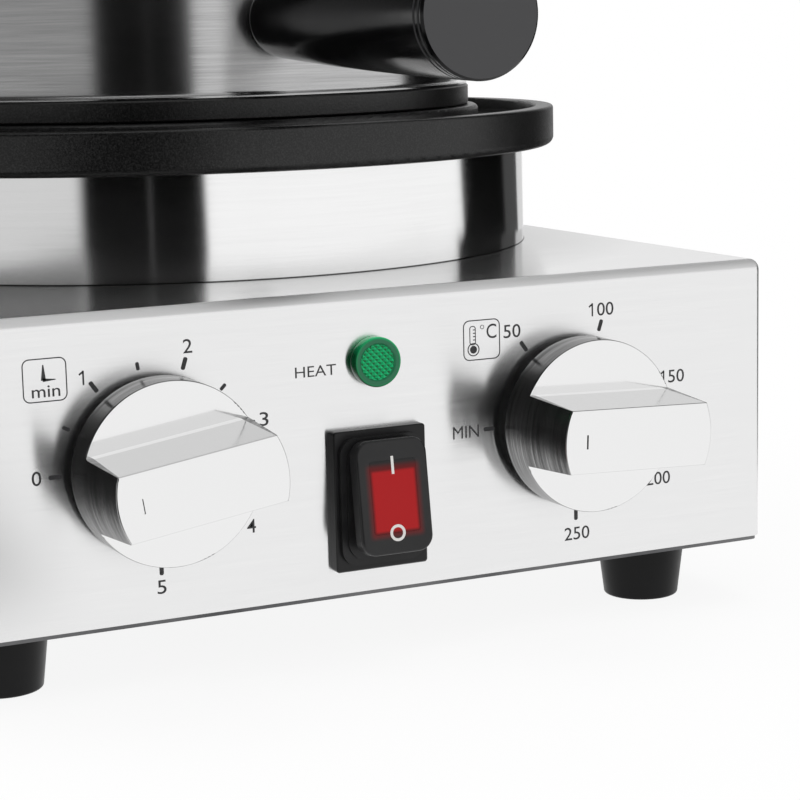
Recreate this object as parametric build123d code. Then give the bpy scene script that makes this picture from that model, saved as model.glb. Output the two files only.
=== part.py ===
"""A round belgian waffle maker: a steel box on rubber feet, a cast lower plate on a
steel drum, and a hinged lid drum that carries the upper plate and the handle.

Millimetres, +Z up. The front panel faces -Y. The origin is on the table, under the
middle of the whole object.
"""
import math
import os

from build123d import *

# Plates: the baking field sets the radii of both plates, of the drum and of the lid
baking_radius = 86.0
upper_core_wall = 3.5
upper_core_height = 11.8
upper_plate_lip = 5.4
upper_plate_edge = 6.2
plate_gap = 0.3
boss_beyond_upper_plate = 3.1
boss_above_rim = 0.7
trough_width = 17.9
trough_depth = 5.2
plate_rim_width = 5.6
plate_rim_height = 12.1
lower_spigot_depth = 4.9
spigot_inside_drum = 11.7

# Rounded and chamfered edges of the plates
rim_foot_round = 2.6
rim_outer_round = 0.9
rim_inner_round = 0.7
trough_outer_round = 2.0
trough_inner_round = 1.5
boss_round = 1.6
upper_plate_round = 0.5
upper_plate_chamfer = 0.7

# Baking pattern: grooves between square studs, and a cross that parts the quarters
stud_below_parting = 3.0
groove_depth = 9.0
groove_pitch = 14.5
groove_top = 7.0
groove_bottom = 3.5
cross_rib = 3.0
cross_rib_below_parting = 1.0

# Lower drum, and the box of the base measured from the lower plate's rim
drum_inside_rim = 9.8
drum_height = 29.7
drum_sheet = 1.0
body_side_past_rim = 0.7
body_end_beyond_rim = 28.5
body_height = 80.0
body_sheet = 1.2
body_bend = 3.0
body_lip = 12.0
bottom_sheet = 1.2
bottom_inset = 0.8

# Cooling slots in the bottom plate
slot_length = 46.0
slot_width = 4.0
slot_pitch = 9.0
slots_in_row = 5
slot_offset = 38.0
slots_from_end = 60.0

# Feet
foot_height = 17.8
foot_top_radius = 12.9
foot_bottom_radius = 10.7
foot_edge_round = 0.8
foot_from_side = 25.6
foot_from_end = 25.0
foot_pocket_radius = 5.5
foot_pocket_depth = 11.0

# Lid drum
lid_over_core = 2.5
lid_height = 62.0
lid_sheet = 0.8
lid_edge_radius = 8.0
lid_flange_width = 2.5
lid_flange_sheet = 0.6
lid_foot_round = 0.9
lid_flange_round = 0.25

# Heating: tube element, clamp, shield and insulation under and over the plates
element_ring_radius = 62.0
element_tube_radius = 4.0
element_gap_angle = 20.0
element_bend_radius = 10.0
clamp_outer_radius = 74.0
clamp_inner_radius = 34.0
clamp_sheet = 1.2
shield_sheet = 0.8
lower_insulation_height = 10.0
lining_clearance = 1.5
stud_radius = 3.0
stud_circle = 45.0
stud_in_plate = 4.0
stud_past_nut = 2.0
nut_height = 5.0
nut_across_flats = 10.0
bridge_sheet = 3.0
bridge_beside_nut = 0.4
bridge_flange = 8.0
bridge_headroom = 4.2
insulation_below_bridge = 1.0
lower_tail_below_top = 9.0
upper_tail_length = 16.0
lid_fastener_room = 10.0

# Handle
handle_reach = 64.0
handle_end_radius = 15.3
handle_middle_radius = 13.6
handle_root_radius = 10.8
handle_root_round = 5.0
handle_end_chamfer = 0.6
handle_above_plate = 21.0
handle_groove_radius = 0.5
handle_grooves_from_end = (2.4, 4.2)
handle_bolt_radius = 4.0
handle_bolt_in_grip = 60.0
handle_stand_off = 2.5
handle_spacer_radius = 7.0
bolt_washer_radius = 8.5
bolt_washer_sheet = 1.0
bolt_nut_height = 5.5
bolt_nut_flats = 13.0

# Hinge
pin_behind_rim = 11.0
pin_above_parting = 3.5
pin_radius = 4.0
pin_running_gap = 0.05
pin_past_ear = 4.0
clip_sheet = 1.0
clip_from_ear = 0.4
clip_groove_depth = 0.8
clip_width = 3.0
clip_mouth_half = 2.2
barrel_radius = 8.0
barrel_half_length = 20.0
ear_sheet = 3.0
ear_radius = 9.5
ear_gap = 0.5
bracket_half_width = 36.0
bracket_before_pin = 18.0
bracket_corner = 3.0
stop_distance = 12.3
stop_above_pin = 15.0
stop_sheet = 2.5
arm_sheet = 4.0
arm_half_width = 18.0
arm_above_flange = 2.9
arm_clear_of_stop = 3.0
pad_thickness = 2.5
pad_above_handle_axis = 18.0
pad_screw_x = 10.5
pad_screw_head = 4.2
pad_screw_from_top = 6.0
pad_screw_above_core = 6.7

# Knobs and the controls behind them
knob_offset = 60.5
knob_height = 39.9
knob_back = 3.4
knob_flange_face = 12.8
knob_front = 33.8
knob_flange_radius = 23.5
knob_front_radius = 22.1
grip_root_half = 9.45
grip_front_half = 8.35
knob_wall = 3.0
knob_edge = 0.35
knob_hub_radius = 6.5
notch_from_edge = 6.4
notch_half_width = 0.25
notch_half_length = 1.85
notch_depth = 0.4
timer_rest_angle = 8.6
thermostat_rest_angle = -2.2
shaft_radius = 3.0
shaft_flat_cut = 0.6
shaft_length = 20.0
shaft_tail = 6.0
shaft_gap = 0.06
bushing_radius = 5.0
bushing_front = 2.2
control_screw_offset = 15.0
control_plate_sheet = 1.5
control_plate_half_width = 9.0
control_plate_half_tall = 20.0
control_case_chamfer = 1.0
timer_width = 46.0
timer_tall = 42.0
timer_depth = 26.0
timer_bell_radius = 15.0
timer_bell_depth = 8.0
timer_bell_round = 4.0
timer_tab_x = 10.0
timer_tab_z = 17.0
thermostat_width = 36.0
thermostat_tall = 46.0
thermostat_depth = 24.0
thermostat_tab_x = 9.0
thermostat_tab_z = 14.0
capillary_radius = 1.0
capillary_below_knob = 12.0
bulb_radius = 3.0
bulb_length = 50.0
bulb_end_round = 1.5

# Flat tabs that the wires push on
tab_width = 6.2
tab_sheet = 0.8
tab_length = 8.0

# Pilot lamp
lamp_height = 61.4
lamp_radius = 6.6
lamp_front = 3.3
lamp_edge_round = 1.2
lamp_tail_radius = 4.6
lamp_tail_length = 6.0
lamp_body_radius = 6.2
lamp_body_start = 3.0
lamp_body_end = 26.0
lamp_tag_x = 3.0
lamp_tag_width = 2.8
lamp_tag_length = 5.0
lamp_clip_radius = 9.0
lamp_clip_sheet = 0.8

# Rocker switch under its rubber boot
switch_height = 25.25
bezel_width = 26.5
bezel_tall = 37.5
bezel_front = 3.0
bezel_corner = 0.9
bezel_chamfer = 0.35
skirt_step = 4.3
skirt_front = 5.0
skirt_wide = (24.0, 34.0, 4.5)
skirt_narrow = (21.0, 31.5, 5.5)
skirt_gap_behind = 0.4
skirt_collar = 0.55
boot_opening = (14.6, 24.6, 2.0)
cap_width = 20.4
cap_tall = 30.0
cap_corner = 4.2
cap_edge_round = 0.8
cap_back = 7.6
cap_front = 11.6
stem_size = (12.0, 19.0, 2.0)
stem_depth = 8.0
lens_size = (13.2, 19.0, 0.75)
lens_depth = 1.6
rocker_tilt = 8.0
rocker_pivot_depth = 3.0
trunnion_radius = 1.5
trunnion_end_gap = 0.6
switch_body_size = (22.0, 30.0, 1.0)
switch_body_depth = 24.0
switch_well = (16.4, 25.6, 1.0)
switch_well_depth = 14.0
switch_blade_x = 5.0
switch_blade_z = 8.0

# Mains inlet and wiring
gland_x = 78.0
gland_height = 26.0
gland_bore_radius = 4.0
gland_reach = 20.0
gland_thread_radius = 8.0
gland_thread_length = 9.0
gland_flats = 19.0
gland_flange = 6.0
gland_dome_radius = 8.8
gland_dome_round = 3.0
gland_nut_flats = 22.0
gland_nut_height = 4.0
block_x = 40.0
block_from_rear = 45.0
block_half_length = 18.0
block_half_width = 9.0
block_tall = 16.0
block_pitch = 12.0
block_corner = 1.0
block_screw_radius = 2.0
block_screw_y = 4.5
block_screw_depth = 5.0
block_wire_hole_radius = 1.8
block_wire_hole_depth = 5.0
block_wire_height = 7.0
earth_x = 78.0
earth_from_rear = 62.0
earth_screw_above = 12.0
wire_radius = 1.3
wire_bend = 8.0
lead_x = 48.0
lead_from_rear = 18.0
lead_hole_radius = 6.0
lead_bore_radius = 3.2
lead_above_plate = 22.0
grommet_radius = 8.0
grommet_lip = 2.5
grommet_depth = 4.0
grommet_round = 1.2
lid_grommet_reach = 7.5
lid_grommet_inside = 3.0

# Screws and nuts: shank radius, head radius and head height; nuts by flats and height
screw_radius = 2.0
screw_head = 3.6
control_screw_head_height = 1.5
bottom_screw_head_height = 1.8
screw_past_sheet = 5.0
large_screw_radius = 2.5
large_screw_head = 4.5
large_screw_head_height = 2.6
large_nut_flats = 8.0
large_nut_height = 4.0
large_screw_past_nut = 2.0
foot_screw_head_height = 3.0
bracket_screw_x = 30.0
bracket_screws_from_pin = (-13.0, 6.0)

# Clearances
fit_gap = 0.05
hole_gap = 0.2
stud_hole_gap = 0.3
tail_hole_gap = 1.5
wire_hole_radius = 30.0

# Places and radii worked out from the sizes above
upper_core_radius = baking_radius + upper_core_wall
upper_plate_radius = upper_core_radius + upper_plate_lip
boss_radius = upper_plate_radius + boss_beyond_upper_plate
trough_outer = boss_radius + trough_width
plate_rim_radius = trough_outer + plate_rim_width
drum_radius = plate_rim_radius - drum_inside_rim
lower_spigot_radius = drum_radius - spigot_inside_drum
lid_radius = upper_core_radius + lid_over_core
lid_inside = lid_radius - lid_sheet
lid_flange_radius = lid_radius + lid_flange_width
body_width = 2 * (plate_rim_radius + body_side_past_rim)
body_depth = 2 * (plate_rim_radius + body_end_beyond_rim)
total_depth = handle_reach + body_depth + gland_reach
front_y = handle_reach - total_depth / 2
rear_y = front_y + body_depth
axis_y = front_y + body_depth / 2
body_bottom = foot_height + bottom_sheet
body_top = body_bottom + body_height
under_top = body_top - body_sheet
rim_bottom = body_top + drum_height
rim_top = rim_bottom + plate_rim_height
lower_parting = rim_top + boss_above_rim
upper_parting = lower_parting + plate_gap
upper_edge_top = upper_parting + upper_plate_edge
upper_core_top = upper_edge_top + upper_core_height
lower_core_bottom = rim_bottom - lower_spigot_depth
lid_top = upper_edge_top + lid_height
pin_y = axis_y + plate_rim_radius + pin_behind_rim
pin_height = lower_parting + pin_above_parting
handle_height = upper_edge_top + handle_above_plate
handle_root_y = axis_y - lid_radius - handle_stand_off
knob_z = body_bottom + knob_height
lamp_z = body_bottom + lamp_height
switch_z = body_bottom + switch_height
gland_z = body_bottom + gland_height
lid_lead_z = upper_edge_top + lead_above_plate
panel_inside = front_y + body_sheet
rear_inside = rear_y - body_sheet
base_lead_y = rear_y - lead_from_rear
stud_hole_radius = stud_radius + stud_hole_gap
tail_hole_radius = element_tube_radius + tail_hole_gap

FOOT = (Align.CENTER, Align.CENTER, Align.MIN)


def block(x, y, z):
    """A block between a low and a high limit along each axis."""
    limits = (x, y, z)
    centre = [(low + high) / 2 for low, high in limits]
    return Pos(*centre) * Box(*[high - low for low, high in limits])


def rod(radius, start, end):
    """A round bar from one point to another."""
    start, end = Vector(*start), Vector(*end)
    return Plane(origin=start, z_dir=end - start) * Cylinder(radius, (end - start).length, align=FOOT)


def disc(radius, low, high, x=0.0, y=0.0):
    """An upright cylinder between two heights."""
    return rod(radius, (x, y, low), (x, y, high))


def hex_prism(across_flats, start, end):
    """A hexagonal bar from one point to another."""
    start, end = Vector(*start), Vector(*end)
    outline = Plane(origin=start, z_dir=end - start) * RegularPolygon(across_flats / math.sqrt(3), 6)
    return extrude(outline, (end - start).length, dir=end - start)


def ring(outer, inner, low, high, x=0.0, y=0.0):
    """An upright tube between two heights."""
    return disc(outer, low, high, x, y) - disc(inner, low, high, x, y)


def turned(points, y=axis_y):
    """A body of revolution about the vertical axis at (0, y), from (radius, height) points."""
    outline = make_face(Polyline(*[(radius, height) for radius, height in points], close=True))
    return Pos(0, y, 0) * revolve(Plane.XZ * outline, Axis.Z)


def circles(shape, radius, height):
    """The circular edges of one radius at one height."""
    found = shape.edges().filter_by(GeomType.CIRCLE)
    return [e for e in found if abs(e.radius - radius) < 0.01 and abs(e.center().Z - height) < 0.01]


def edges_at_y(shape, y):
    """The edges whose middle lies at one y."""
    return [e for e in shape.edges() if abs(e.center().Y - y) < 0.01]


def group(solids):
    """Like pieces that share one node, as separate solids."""
    return Compound(children=list(solids))


def stud_places():
    """The three plate studs, as (x, y)."""
    angles = [math.radians(90 + 120 * step) for step in range(3)]
    return [(stud_circle * math.cos(a), axis_y + stud_circle * math.sin(a)) for a in angles]


def tail_places():
    """Where the two cold ends of an element stand, as (x, y)."""
    gap = math.radians(element_gap_angle)
    x = element_ring_radius * math.cos(gap) + element_bend_radius * math.sin(gap)
    y = element_ring_radius * math.sin(gap) - element_bend_radius * math.cos(gap)
    return [(x, axis_y + y), (x, axis_y - y)]


def foot_places():
    """The four feet, as name and (x, y)."""
    x = body_width / 2 - foot_from_side
    return {
        "front_left": (-x, front_y + foot_from_end),
        "front_right": (x, front_y + foot_from_end),
        "rear_left": (-x, rear_y - foot_from_end),
        "rear_right": (x, rear_y - foot_from_end),
    }


def lip_screw_places():
    """Seven screws in the lip: three along each side, one in the middle of the rear."""
    inset = body_lip / 2
    x = body_width / 2 - inset
    sides = [(side * x, axis_y + step * body_depth / 3) for side in (-1, 1) for step in (-1, 0, 1)]
    return sides + [(0.0, rear_y - inset)]


def control_screw_places(x):
    """The two screws that hold a control behind the panel, above and below its shaft."""
    return [(x, knob_z + side * control_screw_offset) for side in (-1, 1)]


def bracket_screw_places():
    """The four screws of the hinge bracket, as (x, y)."""
    return [(side * bracket_screw_x, pin_y + row) for side in (-1, 1) for row in bracket_screws_from_pin]


def pad_screw_places():
    """The four screws through the lid's rear wall, as (x, z)."""
    heights = (upper_core_top + pad_screw_above_core, pad_top - pad_screw_from_top)
    return [(side * pad_screw_x, z) for side in (-1, 1) for z in heights]


def pan_head_screw(radius, head_radius, head_height, seat, tip):
    """A pan-head screw: the seat is under the head, the tip is the shank's far end."""
    seat, tip = Vector(*seat), Vector(*tip)
    outward = (seat - tip).normalized()
    head = rod(head_radius, seat, seat + outward * head_height)
    rim = [e for e in head.edges() if (e.center() - seat).length > head_height / 2]
    head = fillet(rim, head_height * 0.4)
    return head + rod(radius, seat, tip)


def nut(across_flats, hole_radius, seat, end):
    """A hexagon nut between its seat and its free face."""
    return hex_prism(across_flats, seat, end) - rod(hole_radius, seat, end)


# Box
def base_shell():
    """One folded sheet: front, top and sides, open below, with a lip all round."""
    half = body_width / 2
    shell = block((-half, half), (front_y, rear_y), (body_bottom, body_top))
    upright = shell.edges().filter_by(Axis.Z)
    top = shell.faces().sort_by(Axis.Z)[-1].edges()
    shell = fillet(list(upright) + list(top), body_bend)
    hollow = block(
        (-half + body_sheet, half - body_sheet),
        (panel_inside, rear_inside),
        (body_bottom + body_sheet, under_top),
    )
    hollow = fillet(hollow.edges(), body_bend - body_sheet)
    mouth = block(
        (-half + body_lip, half - body_lip),
        (front_y + body_lip, rear_y - body_lip),
        (body_bottom, body_bottom + body_sheet + body_bend),
    )
    shell -= hollow
    shell -= mouth
    for x in (-knob_offset, knob_offset):
        shell -= rod(bushing_radius + hole_gap, (x, front_y, knob_z), (x, panel_inside, knob_z))
        for place_x, place_z in control_screw_places(x):
            start = (place_x, front_y, place_z)
            shell -= rod(screw_radius + fit_gap, start, (place_x, panel_inside, place_z))
    shell -= rod(lamp_tail_radius + fit_gap, (0, front_y, lamp_z), (0, panel_inside, lamp_z))
    width, tall, corner = switch_body_size
    shell -= switch_slab(width + 2 * hole_gap, tall + 2 * hole_gap, corner, -body_sheet, 0)
    gland_hole = gland_thread_radius + hole_gap
    shell -= rod(gland_hole, (gland_x, rear_inside, gland_z), (gland_x, rear_y, gland_z))
    shell -= disc(wire_hole_radius, under_top, body_top, 0, axis_y)
    for x, y in stud_places():
        shell -= disc(stud_hole_radius, under_top, body_top, x, y)
    for x, y in tail_places():
        shell -= disc(tail_hole_radius, under_top, body_top, x, y)
    for x, y in bracket_screw_places():
        shell -= disc(large_screw_radius + fit_gap, under_top, body_top, x, y)
    for x, y in lip_screw_places():
        shell -= disc(screw_radius + fit_gap, body_bottom, body_bottom + body_sheet, x, y)
    return shell - disc(lead_hole_radius, under_top, body_top, -lead_x, base_lead_y)


def bottom_plate():
    """Flat plate with cooling slots under the controls and holes for feet and screws."""
    half = body_width / 2 - bottom_inset
    ends = (front_y + bottom_inset, rear_y - bottom_inset)
    sheet = block((-half, half), ends, (foot_height, body_bottom))
    sheet = fillet(sheet.edges().filter_by(Axis.Z), body_bend - bottom_inset)
    slot = extrude(SlotOverall(slot_length, slot_width), bottom_sheet)
    for x in (-slot_offset, slot_offset):
        for row_y in (front_y + slots_from_end, rear_y - slots_from_end):
            for step in range(slots_in_row):
                y = row_y + slot_pitch * (step - (slots_in_row - 1) / 2)
                sheet -= Pos(x, y, foot_height) * slot
    for x, y in [*foot_places().values(), (earth_x, earth_y)]:
        sheet -= disc(large_screw_radius + fit_gap, foot_height, body_bottom, x, y)
    for x, y in lip_screw_places():
        sheet -= disc(screw_radius + fit_gap, foot_height, body_bottom, x, y)
    return sheet


def bottom_screws():
    """Self-tapping screws that hold the bottom plate to the lip."""
    tip = body_bottom + screw_past_sheet
    size = (screw_radius, screw_head, bottom_screw_head_height)
    return group(pan_head_screw(*size, (x, y, foot_height), (x, y, tip)) for x, y in lip_screw_places())


# Feet
def rubber_foot(x, y):
    """Tapered rubber foot with a pocket from below that hides its screw."""
    cone = Pos(x, y, 0) * Cone(foot_bottom_radius, foot_top_radius, foot_height, align=FOOT)
    cone = fillet(circles(cone, foot_bottom_radius, 0), foot_edge_round)
    cone -= disc(foot_pocket_radius, 0, foot_pocket_depth, x, y)
    return cone - disc(large_screw_radius + fit_gap, foot_pocket_depth, foot_height, x, y)


def foot_screws():
    """Screws up through the feet, the bottom plate and their nuts."""
    tip = body_bottom + large_nut_height + large_screw_past_nut
    size = (large_screw_radius, large_screw_head, foot_screw_head_height)
    return group(
        pan_head_screw(*size, (x, y, foot_pocket_depth), (x, y, tip)) for x, y in foot_places().values()
    )


def foot_nuts():
    """Nuts of the feet, on the bottom plate."""
    top = body_bottom + large_nut_height
    return group(
        nut(large_nut_flats, large_screw_radius + fit_gap, (x, y, body_bottom), (x, y, top))
        for x, y in foot_places().values()
    )


# Lower drum and plates
def lower_drum():
    """Rolled steel drum between the box and the lower plate."""
    return ring(drum_radius, drum_radius - drum_sheet, body_top, rim_bottom, 0, axis_y)


def baking_cut(parting, down):
    """The room for half a waffle: a shallow round pocket with a grid of tapered grooves.

    The pocket opens at the parting height and goes down for the lower plate, up for the upper.
    """
    way = -1 if down else 1
    stud_face = parting + way * stud_below_parting
    floor = stud_face + way * groove_depth
    half_top, half_bottom = groove_top / 2, groove_bottom / 2
    corners = [(-half_top, stud_face), (half_top, stud_face), (half_bottom, floor), (-half_bottom, floor)]
    section = make_face(Polyline(*corners, close=True))
    prism = extrude(Plane.XZ * section, baking_radius, both=True)
    last = int(baking_radius / groove_pitch - 0.5)
    offsets = [(index + 0.5) * groove_pitch for index in range(-last - 1, last + 1)]
    grooves = Part() + [Pos(offset, 0, 0) * prism for offset in offsets]
    grooves += [Pos(0, offset, 0) * Rot(0, 0, 90) * prism for offset in offsets]
    low, high = sorted((parting, floor))
    grooves &= disc(baking_radius, low, high)
    low, high = sorted((parting, stud_face))
    cut = disc(baking_radius, low, high) + grooves
    low, high = sorted((parting + way * cross_rib_below_parting, floor + way))
    rib = block((-cross_rib / 2, cross_rib / 2), (-baking_radius, baking_radius), (low, high))
    cut -= rib
    cut -= Rot(0, 0, 90) * rib
    return Pos(0, axis_y, 0) * cut


def lower_plate():
    """Cast lower plate: a spigot in the drum, an overflow trough, and the baking boss."""
    trough_floor = rim_top - trough_depth
    plate = turned(
        [
            (0, lower_core_bottom), (lower_spigot_radius, lower_core_bottom),
            (lower_spigot_radius, rim_bottom), (plate_rim_radius, rim_bottom),
            (plate_rim_radius, rim_top), (trough_outer, rim_top), (trough_outer, trough_floor),
            (boss_radius, trough_floor), (boss_radius, lower_parting), (0, lower_parting),
        ]
    )
    rounds = [
        (plate_rim_radius, rim_bottom, rim_foot_round),
        (plate_rim_radius, rim_top, rim_outer_round),
        (trough_outer, rim_top, rim_inner_round),
        (trough_outer, trough_floor, trough_outer_round),
        (boss_radius, trough_floor, trough_inner_round),
        (boss_radius, lower_parting, boss_round),
    ]
    for radius, height, rounding in rounds:
        plate = fillet(circles(plate, radius, height), rounding)
    plate -= baking_cut(lower_parting, down=True)
    for x, y in stud_places():
        plate -= disc(stud_radius + fit_gap, lower_core_bottom, lower_core_bottom + stud_in_plate, x, y)
    return plate


def upper_plate():
    """Cast upper plate: a lip under the lid's flange and a core inside the lid."""
    plate = turned(
        [
            (0, upper_parting), (upper_plate_radius, upper_parting),
            (upper_plate_radius, upper_edge_top), (upper_core_radius, upper_edge_top),
            (upper_core_radius, upper_core_top), (0, upper_core_top),
        ]
    )
    plate = chamfer(circles(plate, upper_plate_radius, upper_edge_top), upper_plate_chamfer)
    plate = fillet(circles(plate, upper_plate_radius, upper_parting), upper_plate_round)
    plate -= baking_cut(upper_parting, down=False)
    for x, y in stud_places():
        plate -= disc(stud_radius + fit_gap, upper_core_top - stud_in_plate, upper_core_top, x, y)
    return plate


# Heating
def heating_element(plate_face, tail_end):
    """Tube element: a ring against the plate, with both ends turned away from it."""
    way = 1 if tail_end > plate_face else -1
    height = plate_face + way * (element_tube_radius + fit_gap)
    gap = math.radians(element_gap_angle)
    big, small = element_ring_radius, element_bend_radius
    start = Vector(big * math.cos(gap), big * math.sin(gap), height)
    far = Vector(-big, 0, height)
    end = Vector(start.X, -start.Y, height)
    inward = Vector(math.sin(gap), -math.cos(gap), 0)
    turn = math.sin(math.radians(45))
    curves = [ThreePointArc(start, far, end)]
    for point, along in ((start, inward), (end, Vector(inward.X, -inward.Y, 0))):
        mid = point + along * (small * turn) + Vector(0, 0, way * small * (1 - turn))
        foot = point + along * small + Vector(0, 0, way * small)
        curves.append(ThreePointArc(point, mid, foot))
        curves.append(Line(foot, Vector(foot.X, foot.Y, tail_end)))
    ordered = [curves[2], curves[1], curves[0], curves[3], curves[4]]
    path = Wire([piece.edge() for piece in ordered])
    first = Vector(curves[2] @ 1)
    section = Plane(origin=first, z_dir=Vector(0, 0, 1)) * Circle(element_tube_radius)
    return Pos(0, axis_y, 0) * sweep(section, path=path)


def lining(outer, low, high):
    """A round sheet or pad with the wire hole, the stud holes and the element's holes."""
    shape = ring(outer, wire_hole_radius, low, high, 0, axis_y)
    for x, y in stud_places():
        shape -= disc(stud_hole_radius, low, high, x, y)
    for x, y in tail_places():
        shape -= disc(tail_hole_radius, low, high, x, y)
    return shape


def element_clamp(low, high):
    """Steel ring that presses the element on the plate, notched for its two ends."""
    shape = ring(clamp_outer_radius, clamp_inner_radius, low, high, 0, axis_y)
    for x, y in stud_places():
        shape -= disc(stud_hole_radius, low, high, x, y)
    (tail_x, tail_y), (_, other_y) = tail_places()
    room = 2.5 * element_tube_radius
    notch = block((tail_x - room, clamp_outer_radius), (other_y - room, tail_y + room), (low, high))
    return shape - notch


lower_element_back = lower_core_bottom - 2 * (element_tube_radius + fit_gap)
upper_element_back = upper_core_top + 2 * (element_tube_radius + fit_gap)
lower_tail_end = body_top - lower_tail_below_top
upper_tail_end = upper_element_back + upper_tail_length
lower_shield_low = body_top + lower_insulation_height
lower_stud_end = under_top - nut_height - stud_past_nut
lid_insulation_low = handle_height + bolt_washer_radius + lining_clearance
bridge_top = lid_top - lid_sheet - bridge_headroom - stud_past_nut - nut_height
bridge_low = bridge_top - bridge_sheet
bridge_half_width = pad_screw_x - large_nut_flats / math.sqrt(3) - bridge_beside_nut
lid_insulation_top = bridge_low - insulation_below_bridge
upper_stud_end = bridge_top + nut_height + stud_past_nut


def plate_studs(core_end, stud_end):
    """Three threaded studs screwed into a plate's core."""
    return group(rod(stud_radius, (x, y, core_end), (x, y, stud_end)) for x, y in stud_places())


def plate_nuts(seat, end):
    """The nuts of a plate's three studs."""
    return group(
        nut(nut_across_flats, stud_radius + fit_gap, (x, y, seat), (x, y, end)) for x, y in stud_places()
    )


# Hinge
ear_inner = barrel_half_length + ear_gap
ear_outer = ear_inner + ear_sheet
stop_inner = pin_y + stop_distance
stop_outer = stop_inner + stop_sheet
pad_top = handle_height + pad_above_handle_axis
strap_low = upper_edge_top + lid_flange_sheet + arm_above_flange
strap_high = strap_low + arm_sheet


def along_pin(radius, low, high):
    """A round bar on the hinge's axis, between two x."""
    return rod(radius, (low, pin_y, pin_height), (high, pin_y, pin_height))


def hinge_bracket():
    """Folded steel bracket on the box: a foot, two ears for the pin, and the stop behind."""
    half = bracket_half_width
    foot_top = body_top + ear_sheet
    foot = block((-half, half), (pin_y - bracket_before_pin, stop_outer), (body_top, foot_top))
    bracket = fillet(foot.edges().filter_by(Axis.Z), bracket_corner)
    stop_top = pin_height + stop_above_pin
    bracket += block((-ear_outer, ear_outer), (stop_inner, stop_outer), (body_top, stop_top))
    for side in (-1, 1):
        x = sorted((side * ear_inner, side * ear_outer))
        ear = block(x, (pin_y - ear_radius, stop_inner), (body_top, pin_height))
        ear += along_pin(ear_radius, *x)
        ear += block(x, (pin_y, stop_inner), (pin_height, pin_height + ear_radius))
        bracket += ear
    bracket -= along_pin(pin_radius + fit_gap, -ear_outer, ear_outer)
    for x, y in bracket_screw_places():
        bracket -= disc(large_screw_radius + fit_gap, body_top, foot_top, x, y)
    return bracket


def bracket_screws():
    """Screws of the hinge bracket, through the box's top."""
    seat = body_top + ear_sheet
    tip = under_top - large_nut_height - large_screw_past_nut
    size = (large_screw_radius, large_screw_head, large_screw_head_height)
    return group(pan_head_screw(*size, (x, y, seat), (x, y, tip)) for x, y in bracket_screw_places())


def bracket_nuts():
    """Nuts of the hinge bracket, under the box's top."""
    end = under_top - large_nut_height
    return group(
        nut(large_nut_flats, large_screw_radius + fit_gap, (x, y, under_top), (x, y, end))
        for x, y in bracket_screw_places()
    )


def hinge_pin():
    """Steel pin with a groove near each end for its clip."""
    half = ear_outer + pin_past_ear
    pin = along_pin(pin_radius, -half, half)
    start = ear_outer + clip_from_ear - 2 * fit_gap
    end = ear_outer + clip_from_ear + clip_sheet + 2 * fit_gap
    for side in (-1, 1):
        x = sorted((side * start, side * end))
        pin -= along_pin(pin_radius + 1, *x) - along_pin(pin_radius - clip_groove_depth, *x)
    return pin


def pin_clips():
    """Spring clips in the pin's grooves, open towards the front."""
    clips = []
    start = ear_outer + clip_from_ear
    outer = pin_radius + clip_width
    for side in (-1, 1):
        x = sorted((side * start, side * (start + clip_sheet)))
        clip = along_pin(outer, *x) - along_pin(pin_radius - clip_groove_depth + fit_gap, *x)
        mouth = (pin_height - clip_mouth_half, pin_height + clip_mouth_half)
        clips.append(clip - block(x, (pin_y - outer, pin_y), mouth))
    return group(clips)


def lid_hinge_arm():
    """Arm of the lid: a barrel on the pin, a strap, and a curved pad on the drum's rear wall."""
    half = arm_half_width
    wall = axis_y + math.sqrt(lid_radius**2 - half**2) - fit_gap
    strap = block((-half, half), (wall, pin_y + barrel_radius / 2), (strap_low, strap_high))
    pad_outer = lid_radius + pad_thickness
    pad = block((-half, half), (wall, axis_y + pad_outer), (strap_low, pad_top))
    pad &= disc(pad_outer, strap_low, pad_top, 0, axis_y)
    neck = block((-half, half), (pin_y - barrel_radius / 2, pin_y + pin_radius), (pin_height, strap_high))
    arm = along_pin(barrel_radius, -barrel_half_length, barrel_half_length) + neck + strap + pad
    swept_by_stop = math.hypot(stop_distance + stop_sheet, stop_above_pin)
    cheek_end = pin_y - swept_by_stop - arm_clear_of_stop
    cheek_top = pad_top - half / 2
    corners = [(wall, strap_low), (cheek_end, strap_low), (cheek_end, strap_high), (wall, cheek_top)]
    cheek = extrude(Plane.YZ * make_face(Polyline(*corners, close=True)), ear_sheet / 2, both=True)
    for side in (-1, 1):
        arm += Pos(side * (half - ear_sheet / 2), 0, 0) * cheek
    arm -= disc(lid_radius + fit_gap, strap_low, pad_top, 0, axis_y)
    arm -= along_pin(pin_radius + pin_running_gap, -barrel_half_length, barrel_half_length)
    for x, z in pad_screw_places():
        arm -= rod(large_screw_radius + fit_gap, (x, axis_y, z), (x, pin_y, z))
    return arm


def lid_hinge_screws():
    """Screws from outside the pad into the lid, each with a nut inside."""
    head_reach = pad_screw_x - pad_screw_head
    nut_reach = pad_screw_x + large_nut_flats / math.sqrt(3)
    outside = axis_y + math.sqrt((lid_radius + pad_thickness) ** 2 - head_reach**2)
    inside = axis_y + math.sqrt(lid_inside**2 - nut_reach**2) - fit_gap
    nut_end = inside - large_nut_height
    pieces = []
    for x, z in pad_screw_places():
        tip = (x, nut_end - large_screw_past_nut, z)
        screw = pan_head_screw(
            large_screw_radius, pad_screw_head, large_screw_head_height, (x, outside, z), tip
        )
        pieces.append(screw + hex_prism(large_nut_flats, (x, inside, z), (x, nut_end, z)))
    return group(pieces)


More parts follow.
